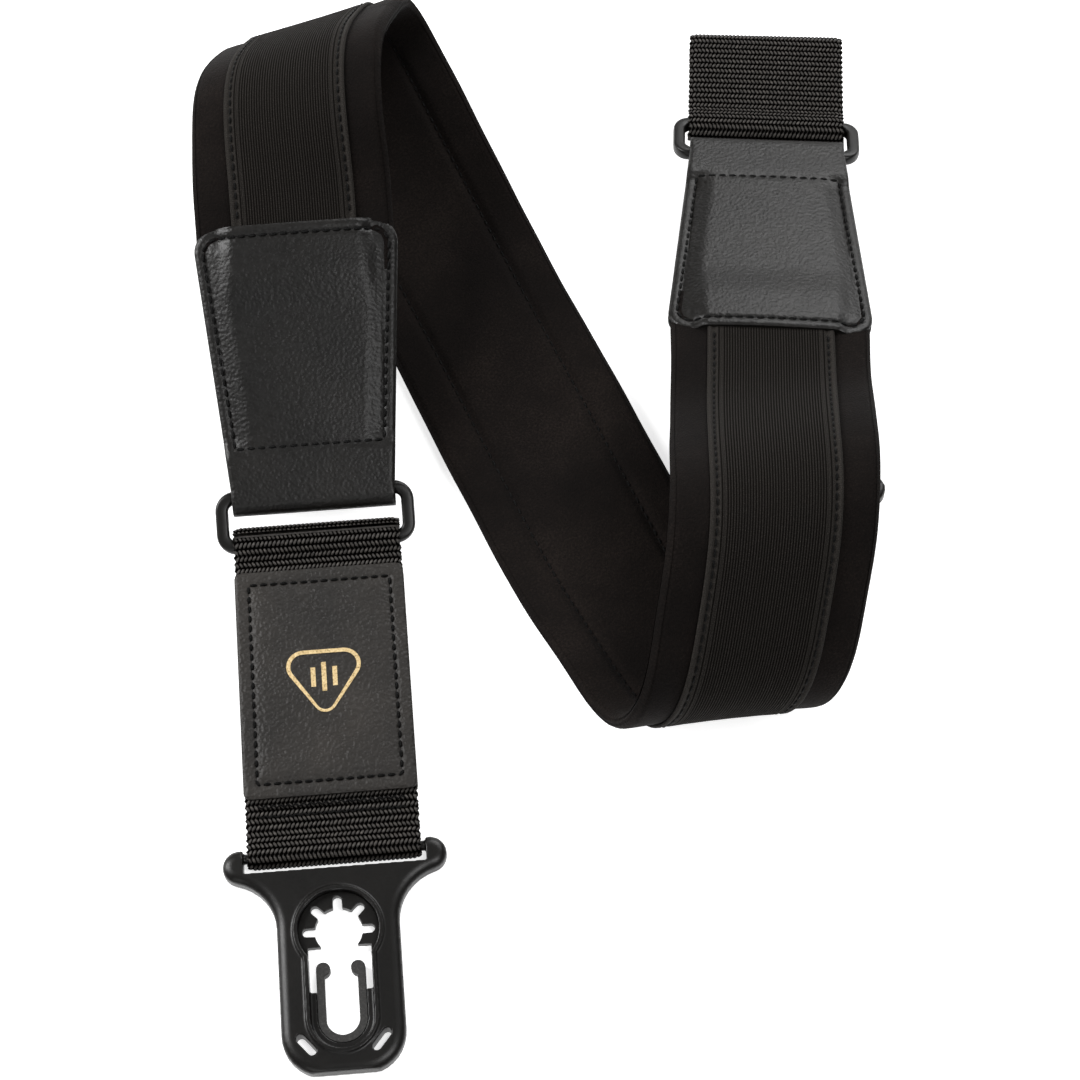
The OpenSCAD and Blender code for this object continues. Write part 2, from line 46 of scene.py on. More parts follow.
# ---- Driving dimensions, the same as the frame's source ----
PAD_W = 60
PAD_T = 5
BAND_W = 38
BAND_T = 1.2
BAND_STITCH_W = 34
LEATHER_T = 1.6
TAB_LEN = 82
TAB_PAD_W = 63
TAB_RING_W = 49
TAB_CORNER = 8
PATCH_W = 50.5
PATCH_LEN = 70.5
RING_IN_W = 52
RING_PITCH = 15
RING_R = 2
WEB_W = 50
WEB_T = 1.6
LEFT_WEB_LEN = 97
RIGHT_WEB_RISE = 31
RIGHT_WEB_RUN = 163
LOCK_T = 6
LOCK_HORN_W = 64.5
LOCK_BODY_W = 35
LOCK_LEN = 65
SLIDER_PITCH = 10.5
PINCH = 7

# Middle of the padded section, and the bends of its halves: centre, length, angle, slant
MIDDLE = np.array([-0.6, 28.8, 5.1])
MIDDLE_HEADING = 25.6
RIGHT_BENDS = [(60, 88, 18.5, -46), (125, 84, 132, -13.5), (192, 74, 67, -19.5), (243, 36, -19, -15)]
LEFT_BENDS = [(79, 86, 16.5, -54), (149, 50, 122, -12), (203, 80, 75, -10.5), (229, 36, -12.5, 34.5)]
RIGHT_REACH = 348
LEFT_REACH = 330
STEP = 6
RIGHT_RING_SLOPE = 18

TAB_INNER = PAD_T / 2
TAB_OUTER = TAB_INNER + LEATHER_T
LOOP_GAP = 0.3
FOLD_SLACK = 1.6
WEB_SLACK = 2.2
RING_WRAP = RING_R + LOOP_GAP
LOCK_BAR_R = 1.5
LOCK_WRAP = LOCK_BAR_R + LOOP_GAP
LOCK_BAR_H = LOCK_WRAP + WEB_T
DOUBLE_HALF = WEB_T + 0.1
LAYER = DOUBLE_HALF / 2
UP = np.array([0.0, 0.0, 1.0])

joints = {j["name"]: j for j in frame["joints"]}


def joint_point(name):
    return np.array(joints[name]["pos_m"]) / MM


def joint_axis(name):
    return np.array(joints[name]["axis"])


# ---- Ribbon frames: point, travel, across, back, length so far ----
def unit(v):
    return v / np.linalg.norm(v)


def turned(v, axis, degrees):
    a = math.radians(degrees)
    return v * math.cos(a) + np.cross(axis, v) * math.sin(a) + axis * np.dot(axis, v) * (1 - math.cos(a))


def bend_rate(bend, s):
    centre, length, angle, _ = bend
    u = (s - centre) / length
    return angle / length * (1 + math.cos(2 * math.pi * u)) if abs(u) < 0.5 else 0.0


def next_frame(f, bends, ds):
    p, t, e, n, s = f
    mid = s + ds / 2
    about_travel = sum(bend_rate(b, mid) * math.sin(math.radians(b[3])) for b in bends)
    about_across = -sum(bend_rate(b, mid) * math.cos(math.radians(b[3])) for b in bends)
    w = (about_travel * t + about_across * e) * ds
    angle = np.linalg.norm(w)
    axis = w / angle if angle > 0 else UP
    new_t = turned(t, axis, angle)
    return [p + unit(t + new_t) * ds, new_t, turned(e, axis, angle), turned(n, axis, angle), s + ds]


def walk(start, bends, length, ds):
    frames = [start]
    for _ in range(round(length / ds)):
        frames.append(next_frame(frames[-1], bends, ds))
    return frames


def backwards(frames):
    return [[p, -t, -e, n, -s] for p, t, e, n, s in reversed(frames[1:])]


def column(frames, k):
    """One entry of every frame: 0 point, 1 travel, 2 across, 3 back, 4 length so far."""
    return np.array([f[k] for f in frames])


def refined(frames, parts):
    """Frames in between, on a smooth curve through the given ones."""
    out = []
    for a, b in zip(frames, frames[1:]):
        ds = np.linalg.norm(b[0] - a[0])
        for i in range(parts):
            u = i / parts
            h = (2 * u**3 - 3 * u**2 + 1, u**3 - 2 * u**2 + u, 3 * u**2 - 2 * u**3, u**3 - u**2)
            p = h[0] * a[0] + h[1] * ds * a[1] + h[2] * b[0] + h[3] * ds * b[1]
            e = unit(a[2] * (1 - u) + b[2] * u)
            t = unit(a[1] * (1 - u) + b[1] * u)
            n = unit(np.cross(t, e))
            out.append([p, t, e, n, a[4] * (1 - u) + b[4] * u])
    return out + [frames[-1]]


def level(v):
    return unit(np.array([v[0], v[1], 0.0]))


def outward(cross_axis, slope):
    a = math.radians(slope)
    return np.cross(UP, cross_axis) * math.cos(a) - UP * math.sin(a)


def place(p, cross_axis, slope):
    """Matrix that takes a rigid piece's own millimetres to the row frame's millimetres."""
    y = outward(cross_axis, slope)
    m = np.eye(4)
    m[:3, 0] = cross_axis
    m[:3, 1] = y
    m[:3, 2] = np.cross(cross_axis, y)
    m[:3, 3] = p
    return m


def moved(points, matrix):
    return points @ matrix[:3, :3].T + matrix[:3, 3]


def slope_of(travel):
    return math.degrees(math.asin(-travel[2] / np.linalg.norm(travel)))


def ease(u):
    c = np.clip(u, 0, 1)
    return c * c * (3 - 2 * c)


def bump_at(x, centre, width):
    """1 at the centre, falling to 0 within about a width."""
    return np.exp(-(((x - centre) / width) ** 2))


heading = math.radians(MIDDLE_HEADING)
middle_t = np.array([math.sin(heading), -math.cos(heading), 0])
middle_e = np.array([math.cos(heading), math.sin(heading), 0])
right_half = walk([MIDDLE, middle_t, middle_e, UP, 0], RIGHT_BENDS, RIGHT_REACH, STEP)
left_half = walk([MIDDLE, -middle_t, -middle_e, UP, 0], LEFT_BENDS, LEFT_REACH, STEP)
left_slope = slope_of(left_half[-1][1])
right_slope = slope_of(right_half[-1][1])
left_x = joint_axis("left_loop_turn")
right_x = joint_axis("right_loop_turn")
left_end = place(joint_point("left_loop_turn"), left_x, left_slope)
right_end = place(joint_point("right_loop_turn"), right_x, right_slope)


def strap_frames(left_out, right_out, parts):
    left = left_half[: len(left_half) - left_out]
    right = right_half[: len(right_half) - right_out]
    return refined(backwards(left) + right, parts)


# ---- Meshes ----
SHARP = math.radians(38)


def new_piece(name, points, faces, uv, material, relief=None):
    """Mesh object from millimetre points, with a map of millimetres along and across the fabric.
    relief, from 0 in the valleys to 1 on the tops, is kept for the material, which paints shade into the
    valleys from it."""
    mesh = bpy.data.meshes.new(name)
    mesh.from_pydata((points * MM).tolist(), [], faces)
    layer = mesh.uv_layers.new(name="fabric")
    corner_point = np.empty(len(mesh.loops), np.int32)
    mesh.loops.foreach_get("vertex_index", corner_point)
    layer.data.foreach_set("uv", uv[corner_point].astype(np.float32).ravel())
    if relief is not None:
        tops = mesh.attributes.new("relief", "FLOAT", "POINT")
        tops.data.foreach_set("value", relief.astype(np.float32).ravel())
    piece = bpy.data.objects.new(name, mesh)
    bpy.context.scene.collection.objects.link(piece)
    finish_mesh(piece)
    piece.data.materials.append(material)
    return piece


def finish_mesh(piece):
    """Even normals, triangles in place of big end faces, and smooth shading but for sharp edges."""
    bm = bmesh.new()
    bm.from_mesh(piece.data)
    big = [f for f in bm.faces if len(f.verts) > 4]
    if big:
        bmesh.ops.triangulate(bm, faces=big)
    bmesh.ops.recalc_face_normals(bm, faces=bm.faces)
    for f in bm.faces:
        f.smooth = True
    for e in bm.edges:
        e.smooth = len(e.link_faces) == 2 and e.calc_face_angle(0) < SHARP
    bm.to_mesh(piece.data)
    bm.free()


def ribbon(name, frames, widths, heights, material, relief=None):
    """Closed ribbon along frames. widths and heights have one row of section points per frame."""
    p, e, n = column(frames, 0), column(frames, 2), column(frames, 3)
    points = p[:, None] + widths[..., None] * e[:, None] + heights[..., None] * n[:, None]
    middle = points.mean(axis=1)
    along = np.concatenate([[0], np.cumsum(np.linalg.norm(np.diff(middle, axis=0), axis=1))])
    uv = np.stack([widths, np.broadcast_to(along[:, None], widths.shape)], axis=-1)
    rows, count = widths.shape
    index = np.arange(rows * count).reshape(rows, count)
    after = np.roll(index, -1, axis=1)
    quads = np.stack([index[:-1], after[:-1], after[1:], index[1:]], axis=-1).reshape(-1, 4)
    faces = quads.tolist() + [index[0][::-1].tolist(), index[-1].tolist()]
    return new_piece(name, points.reshape(-1, 3), faces, uv.reshape(-1, 2), material, relief)


def closed_section(half_w, low, high, front_count, back_count, corner):
    """Across positions and share of height (0 low, 1 high) of a flat section with round edges."""
    a = np.radians(np.linspace(0, 90, 5))[1:-1]
    dx = corner * (1 - np.sin(a))
    dz = corner * (1 - np.cos(a))
    edge = half_w - dx
    t = high - low
    front = np.linspace(-half_w + corner, half_w - corner, front_count)
    back = np.linspace(half_w - corner, -half_w + corner, back_count)
    right_low = np.stack([edge[::-1], low + dz[::-1]])
    right_high = np.stack([edge, high - dz])
    x = np.concatenate([front, right_low[0], [half_w], right_high[0], back, -right_high[0][::-1],
                        [-half_w], -right_low[0][::-1]])
    z = np.concatenate([np.full(front_count, low), right_low[1], [(low + high) / 2], right_high[1],
                        np.full(back_count, high), right_high[1][::-1], [(low + high) / 2],
                        right_low[1][::-1]])
    return x, z, (z - low) / t


STITCH_SIDES = 6
# Place along a stitch, rise in thread radii, and thickness as a share of the thread's
STITCH_SHAPE = ((-0.5, -0.3, 0.35), (-0.42, 0.1, 0.8), (-0.2, 0.55, 1.0), (0.0, 0.65, 1.0),
                (0.2, 0.55, 1.0), (0.42, 0.1, 0.8), (0.5, -0.3, 0.35))


def stitches(name, places, length, radius, material):
    """Separate thread stitches. Each place is a point on the surface, the thread's way and the
    surface's normal."""
    p, d, n = (np.array(x) for x in zip(*places))
    d = d / np.linalg.norm(d, axis=1)[:, None]
    side = np.cross(n, d)
    angles = np.linspace(0, 2 * np.pi, STITCH_SIDES, endpoint=False)
    rings = []
    for along, rise, share in STITCH_SHAPE:
        centre = p + d * along * length + n * rise * radius
        r = radius * share
        rings.append(centre[:, None] + r * (np.cos(angles)[:, None] * side[:, None]
                                            + np.sin(angles)[:, None] * n[:, None]))
    points = np.stack(rings, axis=1)
    count, ring_count = len(p), len(STITCH_SHAPE)
    index = np.arange(points[..., 0].size).reshape(count, ring_count, STITCH_SIDES)
    after = np.roll(index, -1, axis=2)
    quads = np.stack([index[:, :-1], after[:, :-1], after[:, 1:], index[:, 1:]], axis=-1).reshape(-1, 4)
    caps = index[:, 0, ::-1].tolist() + index[:, -1].tolist()
    u = np.broadcast_to(np.array([s[0] for s in STITCH_SHAPE])[None, :, None] * length, index.shape)
    v = np.broadcast_to(angles[None, None] * radius, index.shape)
    uv = np.stack([u, v], axis=-1).reshape(-1, 2)
    return new_piece(name, points.reshape(-1, 3), quads.tolist() + caps, uv, material)


def stitch_places(path, pitch, normals):
    """Places at an even pitch along a polyline, with the normal found for each point of it."""
    step = np.linalg.norm(np.diff(path, axis=0), axis=1)
    s = np.concatenate([[0], np.cumsum(step)])
    count = max(1, round(s[-1] / pitch))
    at = (np.arange(count) + 0.5) * s[-1] / count
    point = np.stack([np.interp(at, s, path[:, k]) for k in range(3)], axis=1)
    ahead = np.stack([np.interp(at + pitch * 0.3, s, path[:, k]) for k in range(3)], axis=1)
    behind = np.stack([np.interp(at - pitch * 0.3, s, path[:, k]) for k in range(3)], axis=1)
    normal = np.stack([np.interp(at, s, normals[:, k]) for k in range(3)], axis=1)
    return list(zip(point, ahead - behind, normal / np.linalg.norm(normal, axis=1)[:, None]))


# ---- Materials ----
SHEEN_ROUGHNESS = 0.45


def shader_inputs(mat):
    return mat.node_tree.nodes["Principled BSDF"].inputs


def material(name, rough, specular=0.5, sheen=0.0, metallic=0.0):
    mat = bpy.data.materials.new(name)
    mat.use_nodes = True
    inputs = shader_inputs(mat)
    inputs["Roughness"].default_value = rough
    inputs["Specular IOR Level"].default_value = specular
    inputs["Sheen Weight"].default_value = sheen
    inputs["Sheen Roughness"].default_value = SHEEN_ROUGHNESS
    inputs["Metallic"].default_value = metallic
    return mat


def node(mat, kind, **inputs):
    made = mat.node_tree.nodes.new(kind)
    for key, value in inputs.items():
        made.inputs[key.replace("_", " ")].default_value = value
    return made


def link(mat, a, b):
    mat.node_tree.links.new(a, b)


def scaled(mat, source, scale):
    """Texture coordinates in millimetres: the fabric map, or the object's own space."""
    coords = node(mat, "ShaderNodeTexCoord")
    mapping = node(mat, "ShaderNodeMapping", Scale=scale)
    link(mat, coords.outputs[source], mapping.inputs["Vector"])
    return mapping.outputs["Vector"]


def noise(mat, vector, scale, detail=3.0, rough=0.5):
    made = node(mat, "ShaderNodeTexNoise", Scale=scale, Detail=detail, Roughness=rough)
    link(mat, vector, made.inputs["Vector"])
    return made.outputs["Fac"]


def colours(mat, factor, stops):
    """Base colour from a factor through a few colour stops."""
    ramp = node(mat, "ShaderNodeValToRGB")
    elements = ramp.color_ramp.elements
    while len(elements) < len(stops):
        elements.new(0.5)
    for element, (at, colour) in zip(elements, stops):
        element.position = at
        element.color = (*colour, 1)
    link(mat, factor, ramp.inputs["Fac"])
    link(mat, ramp.outputs["Color"], shader_inputs(mat)["Base Color"])
    return ramp


# Relief that counts as a valley's floor, and as a yarn's top, for the painted shade between them
RELIEF_SHOWN = (0.3, 1.0)


def shaded_valleys(mat, colour_node, depth, shine):
    """Painted shade: darkens the base colour between the yarns or ribs as far as their relief says, and
    lowers the gloss there.
    """
    tops = node(mat, "ShaderNodeAttribute")
    tops.attribute_name = "relief"
    valley, top = RELIEF_SHOWN
    spread = node(mat, "ShaderNodeMapRange", From_Min=valley, From_Max=top, To_Min=depth, To_Max=1.0)
    link(mat, tops.outputs["Fac"], spread.inputs["Value"])
    mix = node(mat, "ShaderNodeMix")
    mix.data_type = "RGBA"
    mix.blend_type = "MULTIPLY"
    mix.inputs["Factor"].default_value = 1
    link(mat, colour_node.outputs["Color"], mix.inputs[6])
    link(mat, spread.outputs["Result"], mix.inputs[7])
    gloss = node(mat, "ShaderNodeMapRange", From_Min=valley, From_Max=top, To_Min=0.0, To_Max=shine)
    link(mat, tops.outputs["Fac"], gloss.inputs["Value"])
    link(mat, gloss.outputs["Result"], shader_inputs(mat)["Specular IOR Level"])
    link(mat, mix.outputs[2], shader_inputs(mat)["Base Color"])


def roughness(mat, factor, low, high):
    spread = node(mat, "ShaderNodeMapRange", To_Min=low, To_Max=high)
    link(mat, factor, spread.inputs["Value"])
    link(mat, spread.outputs["Result"], shader_inputs(mat)["Roughness"])


def bumps(mat, layers):
    """Bump layers one over another; each is (height, strength, distance in metres)."""
    before = None
    for height, strength, distance in layers:
        made = node(mat, "ShaderNodeBump", Strength=strength, Distance=distance)
        link(mat, height, made.inputs["Height"])
        if before:
            link(mat, before, made.inputs["Normal"])
        before = made.outputs["Normal"]
    link(mat, before, shader_inputs(mat)["Normal"])


def jersey():
    """Knitted face of the neoprene: fine loops, soft sheen and a warm black."""
    mat = material("neoprene_jersey", 0.92, specular=0.10, sheen=0.02)
    fabric = scaled(mat, "UV", (1, 1, 1))
    loops = node(mat, "ShaderNodeTexVoronoi", Scale=1.9, Randomness=0.75)
    link(mat, fabric, loops.inputs["Vector"])
    shade = noise(mat, scaled(mat, "Object", (1, 1, 1)), 28, 4, 0.6)
    fleck = noise(mat, fabric, 1.4, 2, 0.7)
    both = node(mat, "ShaderNodeMath")
    both.operation = "MULTIPLY"
    link(mat, shade, both.inputs[0])
    link(mat, fleck, both.inputs[1])
    colours(mat, both.outputs[0], [(0.12, (0.0022, 0.0015, 0.0013)), (0.27, (0.0055, 0.0039, 0.0033)),
                                   (0.42, (0.0130, 0.0096, 0.0080))])
    bumps(mat, [(loops.outputs["Distance"], 0.75, 0.00018), (fleck, 0.35, 0.0002)])
    return mat


def band_weave():
    """Ribbed band: small knit loops along each rib."""
    mat = material("ribbed_band", 0.85, specular=0.12, sheen=0.02)
    fabric = scaled(mat, "UV", (1.25, 1.6, 1))
    loops = node(mat, "ShaderNodeTexVoronoi", Scale=1.0, Randomness=0.25)
    link(mat, fabric, loops.inputs["Vector"])
    fibre = noise(mat, scaled(mat, "UV", (3, 3, 1)), 1.0, 3, 0.6)
    made = colours(mat, fibre, [(0.25, (0.0070, 0.0061, 0.0053)), (0.55, (0.0200, 0.0176, 0.0155)),
                                (0.8, (0.055, 0.049, 0.043))])
    # Painted shade between the ribs: the rib valleys get a quarter of the colour, and less gloss.
    shaded_valleys(mat, made, 0.25, 0.12)
    bumps(mat, [(loops.outputs["Distance"], 0.7, 0.0002), (fibre, 0.3, 0.0001)])
    return mat


def webbing_weave():
    """Chunky webbing yarn with fine strands along it."""
    mat = material("webbing_yarn", 0.5, specular=0.35)
    strands = node(mat, "ShaderNodeTexWave", Scale=1.1, Distortion=1.5, Detail=2)
    link(mat, scaled(mat, "UV", (3.4, 1.2, 1)), strands.inputs["Vector"])
    shade = noise(mat, scaled(mat, "UV", (0.9, 0.9, 1)), 1.0, 4, 0.65)
    made = colours(mat, shade, [(0.3, (0.022, 0.0195, 0.0175)), (0.5, (0.052, 0.046, 0.041)),
                                (0.7, (0.120, 0.106, 0.094))])
    # Painted shade between the yarn knuckles: the valleys are nearly black, and without gloss.
    shaded_valleys(mat, made, 0.02, 0.5)
    bumps(mat, [(strands.outputs["Fac"], 0.5, 0.00012), (shade, 0.4, 0.0001)])
    return mat


def leather(name, tint, shine, grain_depth):
    """Fine-grained leather: small pebbles, soft creases and an uneven finish."""
    mat = material(name, 0.45, specular=0.32)
    space = scaled(mat, "Object", (1, 1, 1))
    pebbles = node(mat, "ShaderNodeTexVoronoi", Scale=1050, Randomness=1.0)
    pebbles.feature = "SMOOTH_F1"
    link(mat, space, pebbles.inputs["Vector"])
    grain = noise(mat, space, 2600, 3, 0.6)
    creases = noise(mat, space, 420, 5, 0.62)
    wear = noise(mat, space, 45, 4, 0.55)
    dark = tuple(0.6 * c for c in tint)
    light = tuple(1.55 * c for c in tint)
    colours(mat, wear, [(0.3, dark), (0.52, tint), (0.75, light)])
    roughness(mat, creases, shine, shine + 0.2)
    bumps(mat, [(creases, 0.35 * grain_depth, 0.0003),
                (pebbles.outputs["Distance"], 0.6 * grain_depth, 0.0003), (grain, 0.3, 0.0001)])
    return mat


def thread():
    mat = material("waxed_thread", 0.55, specular=0.12)
    twist = node(mat, "ShaderNodeTexWave", Scale=1.6, Distortion=0.3)
    twist.bands_direction = "DIAGONAL"
    link(mat, scaled(mat, "UV", (1.4, 1.4, 1)), twist.inputs["Vector"])
    colours(mat, twist.outputs["Fac"], [(0.2, (0.0006, 0.0006, 0.0006)), (0.9, (0.0035, 0.0033, 0.0031))])
    bumps(mat, [(twist.outputs["Fac"], 0.6, 0.00012)])
    return mat


def moulded(name, low, high, rough, speckle):
    """Moulded plastic with a fine spark-eroded texture and slight mottling."""
    mat = material(name, rough, specular=0.32)
    space = scaled(mat, "Object", (1, 1, 1))
    texture = noise(mat, space, speckle, 2, 0.7)
    mottle = noise(mat, space, 60, 5, 0.6)
    colours(mat, mottle, [(0.3, low), (0.75, high)])
    roughness(mat, texture, rough - 0.08, rough + 0.12)
    bumps(mat, [(mottle, 0.08, 0.0004), (texture, 0.3, 0.00006)])
    return mat


def glass_filled():
    """Greyer plastic with short pale fibres at its surface."""
    mat = material("glass_filled_plastic", 0.55, specular=0.4)
    space = scaled(mat, "Object", (1, 1, 1))
    fibres = noise(mat, space, 1400, 4, 0.8)
    cloud = noise(mat, space, 220, 5, 0.7)
    colours(mat, fibres, [(0.35, (0.008, 0.0077, 0.0072)), (0.55, (0.020, 0.0192, 0.0180)),
                          (0.72, (0.060, 0.058, 0.054))])
    roughness(mat, cloud, 0.45, 0.7)
    bumps(mat, [(cloud, 0.35, 0.0003), (fibres, 0.3, 0.0001)])
    return mat


def foil():
    """Hot-stamped foil that shows the leather's grain and small gaps."""
    mat = material("gold_foil", 0.35, metallic=0.5)
    space = scaled(mat, "Object", (1, 1, 1))
    grain = noise(mat, space, 1600, 3, 0.6)
    colours(mat, grain, [(0.28, (0.16, 0.11, 0.05)), (0.42, (0.72, 0.52, 0.25)),
                         (0.7, (0.93, 0.74, 0.42))])
    roughness(mat, grain, 0.28, 0.5)
    bumps(mat, [(grain, 0.5, 0.0002)])
    return mat


JERSEY = jersey()
BAND = band_weave()
WEBBING = webbing_weave()
TAB_LEATHER = leather("tab_leather", (0.0042, 0.0036, 0.0030), 0.30, 0.7)
PATCH_LEATHER = leather("patch_leather", (0.0150, 0.0126, 0.0104), 0.40, 1.8)
THREAD = thread()
PLASTIC = moulded("moulded_black", (0.0028, 0.0025, 0.0022), (0.0060, 0.0054, 0.0047), 0.34, 2200)
FORK_PLASTIC = glass_filled()
FOIL = foil()


# ---- Neoprene pad and woven band ----
# Frames left off at each end, where the tabs take over
PAD_OUT = 11
BAND_OUT = 12
STITCH_OUT = PAD_OUT + 3
STITCH_PITCH = 3.0
STITCH_LEN = 2.3
HALF_STITCH = BAND_STITCH_W / 2
CHANNEL_W = 1.5
BACK_GROOVE = 1.15
FRONT_GROOVE = 0.3
PAD_EDGE_R = 2.2
PAD_EDGE_AT = 24
PAD_EDGE_EASE = 6
PAD_EDGE_THINNING = 0.10


def drift(s, seed, size):
    """Slow unevenness along a length, the same each run."""
    waves = np.sin(s / 23 + seed) + 0.6 * np.sin(s / 9.1 + 2.3 * seed) + 0.3 * np.sin(s / 4.7 + seed)
    return size * waves


def pull(s, depth):
    """How the thread's pull rises and falls from stitch to stitch."""
    return 1 + depth * np.sin(s * 2 * np.pi / STITCH_PITCH)


def neoprene_pad():
    """The pad: round edges, and channels where the two rows of stitches pull it in."""
    frames = strap_frames(PAD_OUT, PAD_OUT, 4)
    s = column(frames, 4)[:, None]
    x, z, _ = closed_section(PAD_W / 2, -PAD_T / 2, PAD_T / 2, 81, 81, PAD_EDGE_R)
    widths = x[None] + np.sign(x)[None] * (np.abs(x)[None] / (PAD_W / 2)) ** 4 * drift(s, 1.0, 0.16)
    channel = bump_at(np.abs(x), HALF_STITCH, CHANNEL_W)
    back_drop = BACK_GROOVE * channel[None] * pull(s, 0.18)
    front_drop = FRONT_GROOVE * channel[None] * pull(s, 0.18)
    heights = z[None] - np.where(z > 0, back_drop, -front_drop)
    edge = ease((np.abs(x) - PAD_EDGE_AT) / PAD_EDGE_EASE)
    heights = heights * (1 - PAD_EDGE_THINNING * edge[None]) + drift(s, 2.0, 0.05)
    piece = ribbon("neoprene_pad_jersey", frames, widths, heights, JERSEY)
    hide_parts("neoprene_pad")
    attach(piece, "strap")


RIB_PITCH = 0.8
RIB_DEPTH = 0.18
RIB_MARGIN = 0.9
DIP_DEPTH = 0.42
PIPING_RISE = 0.16
EDGE_IN = 0.75
BAND_SINK = 0.12


def front_band():
    """The band: fine ribs along it, a piped edge and a dip along each row of stitches."""
    frames = strap_frames(BAND_OUT, BAND_OUT, 3)
    s = column(frames, 4)[:, None]
    low = -PAD_T / 2 - BAND_T
    x, z, share = closed_section(BAND_W / 2, low, -PAD_T / 2, 181, 21, 0.5)
    front = 1 - share
    ribs = RIB_DEPTH / 2 * (1 + np.cos(2 * np.pi * x / RIB_PITCH)) * (np.abs(x) < HALF_STITCH - RIB_MARGIN)
    dip = DIP_DEPTH * bump_at(np.abs(x), HALF_STITCH, 0.75)
    piping = PIPING_RISE * bump_at(np.abs(x), BAND_W / 2 - EDGE_IN, 0.5)
    heights = z[None] + front[None] * (BAND_SINK - ribs[None] + dip[None] * pull(s, 0.2) - piping[None])
    widths = x[None] + (np.abs(x)[None] / (BAND_W / 2)) ** 6 * np.sign(x)[None] * drift(s, 3.0, 0.07)
    # Relief for the band's painted shade: 0 in the rib valleys, 1 on the ribs and where there are none.
    tops = np.broadcast_to((ribs / RIB_DEPTH + (ribs == 0))[None], heights.shape)
    piece = ribbon("front_band_weave", frames, widths, heights, BAND, tops)
    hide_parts("front_band")
    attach(piece, "strap")


def band_stitches():
    """Two rows of stitches on the band, and the same rows seen in the channels on the pad's back."""
    frames = strap_frames(STITCH_OUT, STITCH_OUT, 3)
    p, e, n = column(frames, 0), column(frames, 2), column(frames, 3)
    front_h = -PAD_T / 2 - BAND_T + 0.32
    back_h = PAD_T / 2 - BACK_GROOVE
    places = []
    for side in (-1, 1):
        across = side * HALF_STITCH * e
        places += stitch_places(p + across + front_h * n, STITCH_PITCH, -n)
        places += stitch_places(p + across + back_h * n, STITCH_PITCH, n)
    piece = stitches("band_stitches", places, STITCH_LEN, 0.3, THREAD)
    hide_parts("band_stitching")
    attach(piece, "strap")


# ---- Leather tabs ----
TAB_STITCH_INSET = 3.3
TAB_STITCH_TOP = 14.3
TAB_STITCH_PITCH = 3.2
TAB_ROW_DEPTH = 0.45
TAB_ROW_W = 0.55
TAB_BORDER_AT = 3.4
TAB_BORDER_W = 6
TAB_EDGE_R = 0.9
# Where the band under the leather lifts it
LIFT = 0.95
LIFT_HALF = 24
LIFT_FROM = 55


def tab_half_width(y):
    """Half width of a tab at y, from its bar at 0 back to its rounded end."""
    straight = TAB_RING_W / 2 + (TAB_PAD_W - TAB_RING_W) / 2 * (-y / TAB_LEN)
    left = y + TAB_LEN
    c = TAB_CORNER
    short = np.where(left < c, c - np.sqrt(np.clip(c * c - (c - left) ** 2, 0, None)), 0)
    return straight - short


def tab_drop(x, y):
    """How far a tab's face lies below its full height at a point."""
    straight = TAB_RING_W / 2 + (TAB_PAD_W - TAB_RING_W) / 2 * (-y / TAB_LEN)
    dx = straight - np.abs(x)
    dy = y + TAB_LEN
    c = TAB_CORNER
    in_corner = (dx < c) & (dy < c)
    d = np.where(in_corner, c - np.hypot(c - dx, c - dy), np.minimum(dx, dy))
    past_top = ease((-y - TAB_STITCH_TOP + 3) / 6)
    over_band = ease((LIFT_HALF - np.abs(x)) / 5) * ease((-y - LIFT_FROM) / 14)
    border = (1 - ease((d - TAB_BORDER_AT) / TAB_BORDER_W)) * past_top * (1 - over_band)
    row = TAB_ROW_DEPTH * bump_at(d, TAB_STITCH_INSET, TAB_ROW_W) * (y < -TAB_STITCH_TOP)
    top_row = TAB_ROW_DEPTH * bump_at(y, -TAB_STITCH_TOP, TAB_ROW_W) * (dx > TAB_STITCH_INSET)
    rounding = 0.45 * (1 - ease(d / TAB_EDGE_R))
    soft = (0.10 * np.sin(x / 7.0 + y / 11.0) + 0.5 * (x / 26) ** 2) * past_top
    return border + row + top_row + rounding + soft - LIFT * over_band


def tab_stations():
    """Points and outward normals (in y, z) down a tab's side: front face, fold, back face."""
    dense = np.concatenate([np.linspace(-TAB_LEN, -TAB_LEN + TAB_CORNER, 16),
                            np.linspace(-TAB_LEN + TAB_CORNER, 0, 70)[1:], [FOLD_SLACK]])
    r = TAB_INNER + LEATHER_T / 2
    rows = [(y, r, 0.0, 1.0, y) for y in dense]
    for a in np.radians(np.arange(10, 180, 10)):
        rows.append((FOLD_SLACK + r * math.sin(a), r * math.cos(a), math.sin(a), math.cos(a), 0.0))
    rows += [(y, -r, 0.0, -1.0, y) for y in dense[::-1]]
    return rows


def tab(name, stitch_name, matrix, nodes, stitch_node):
    rows = tab_stations()
    frames, widths, heights = [], [], []
    for y, z, ny, nz, flat_y in rows:
        n = -(matrix[:3, 1] * ny + matrix[:3, 2] * nz)
        frames.append([moved(np.array([0, y, z]), matrix), None, matrix[:3, 0], n, 0])
        half = float(tab_half_width(np.array(flat_y))) if flat_y < 0 else TAB_RING_W / 2
        half = max(half, TAB_PAD_W / 2 - TAB_CORNER - 0.4)
        x, h, _ = closed_section(half, -LEATHER_T / 2, LEATHER_T / 2, 73, 25, 0.45)
        on_face = 1.0 if flat_y < 0 else 0.0
        drop = tab_drop(x, np.full_like(x, flat_y)) * on_face
        widths.append(x)
        heights.append(h + drop)
    piece = ribbon(name, frames, np.array(widths), np.array(heights), TAB_LEATHER)
    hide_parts(*nodes)
    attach(piece, "strap")
    sewn = stitches(stitch_name, tab_stitch_places(matrix), 2.5, 0.44, THREAD)
    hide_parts(stitch_node)
    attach(sewn, "strap")


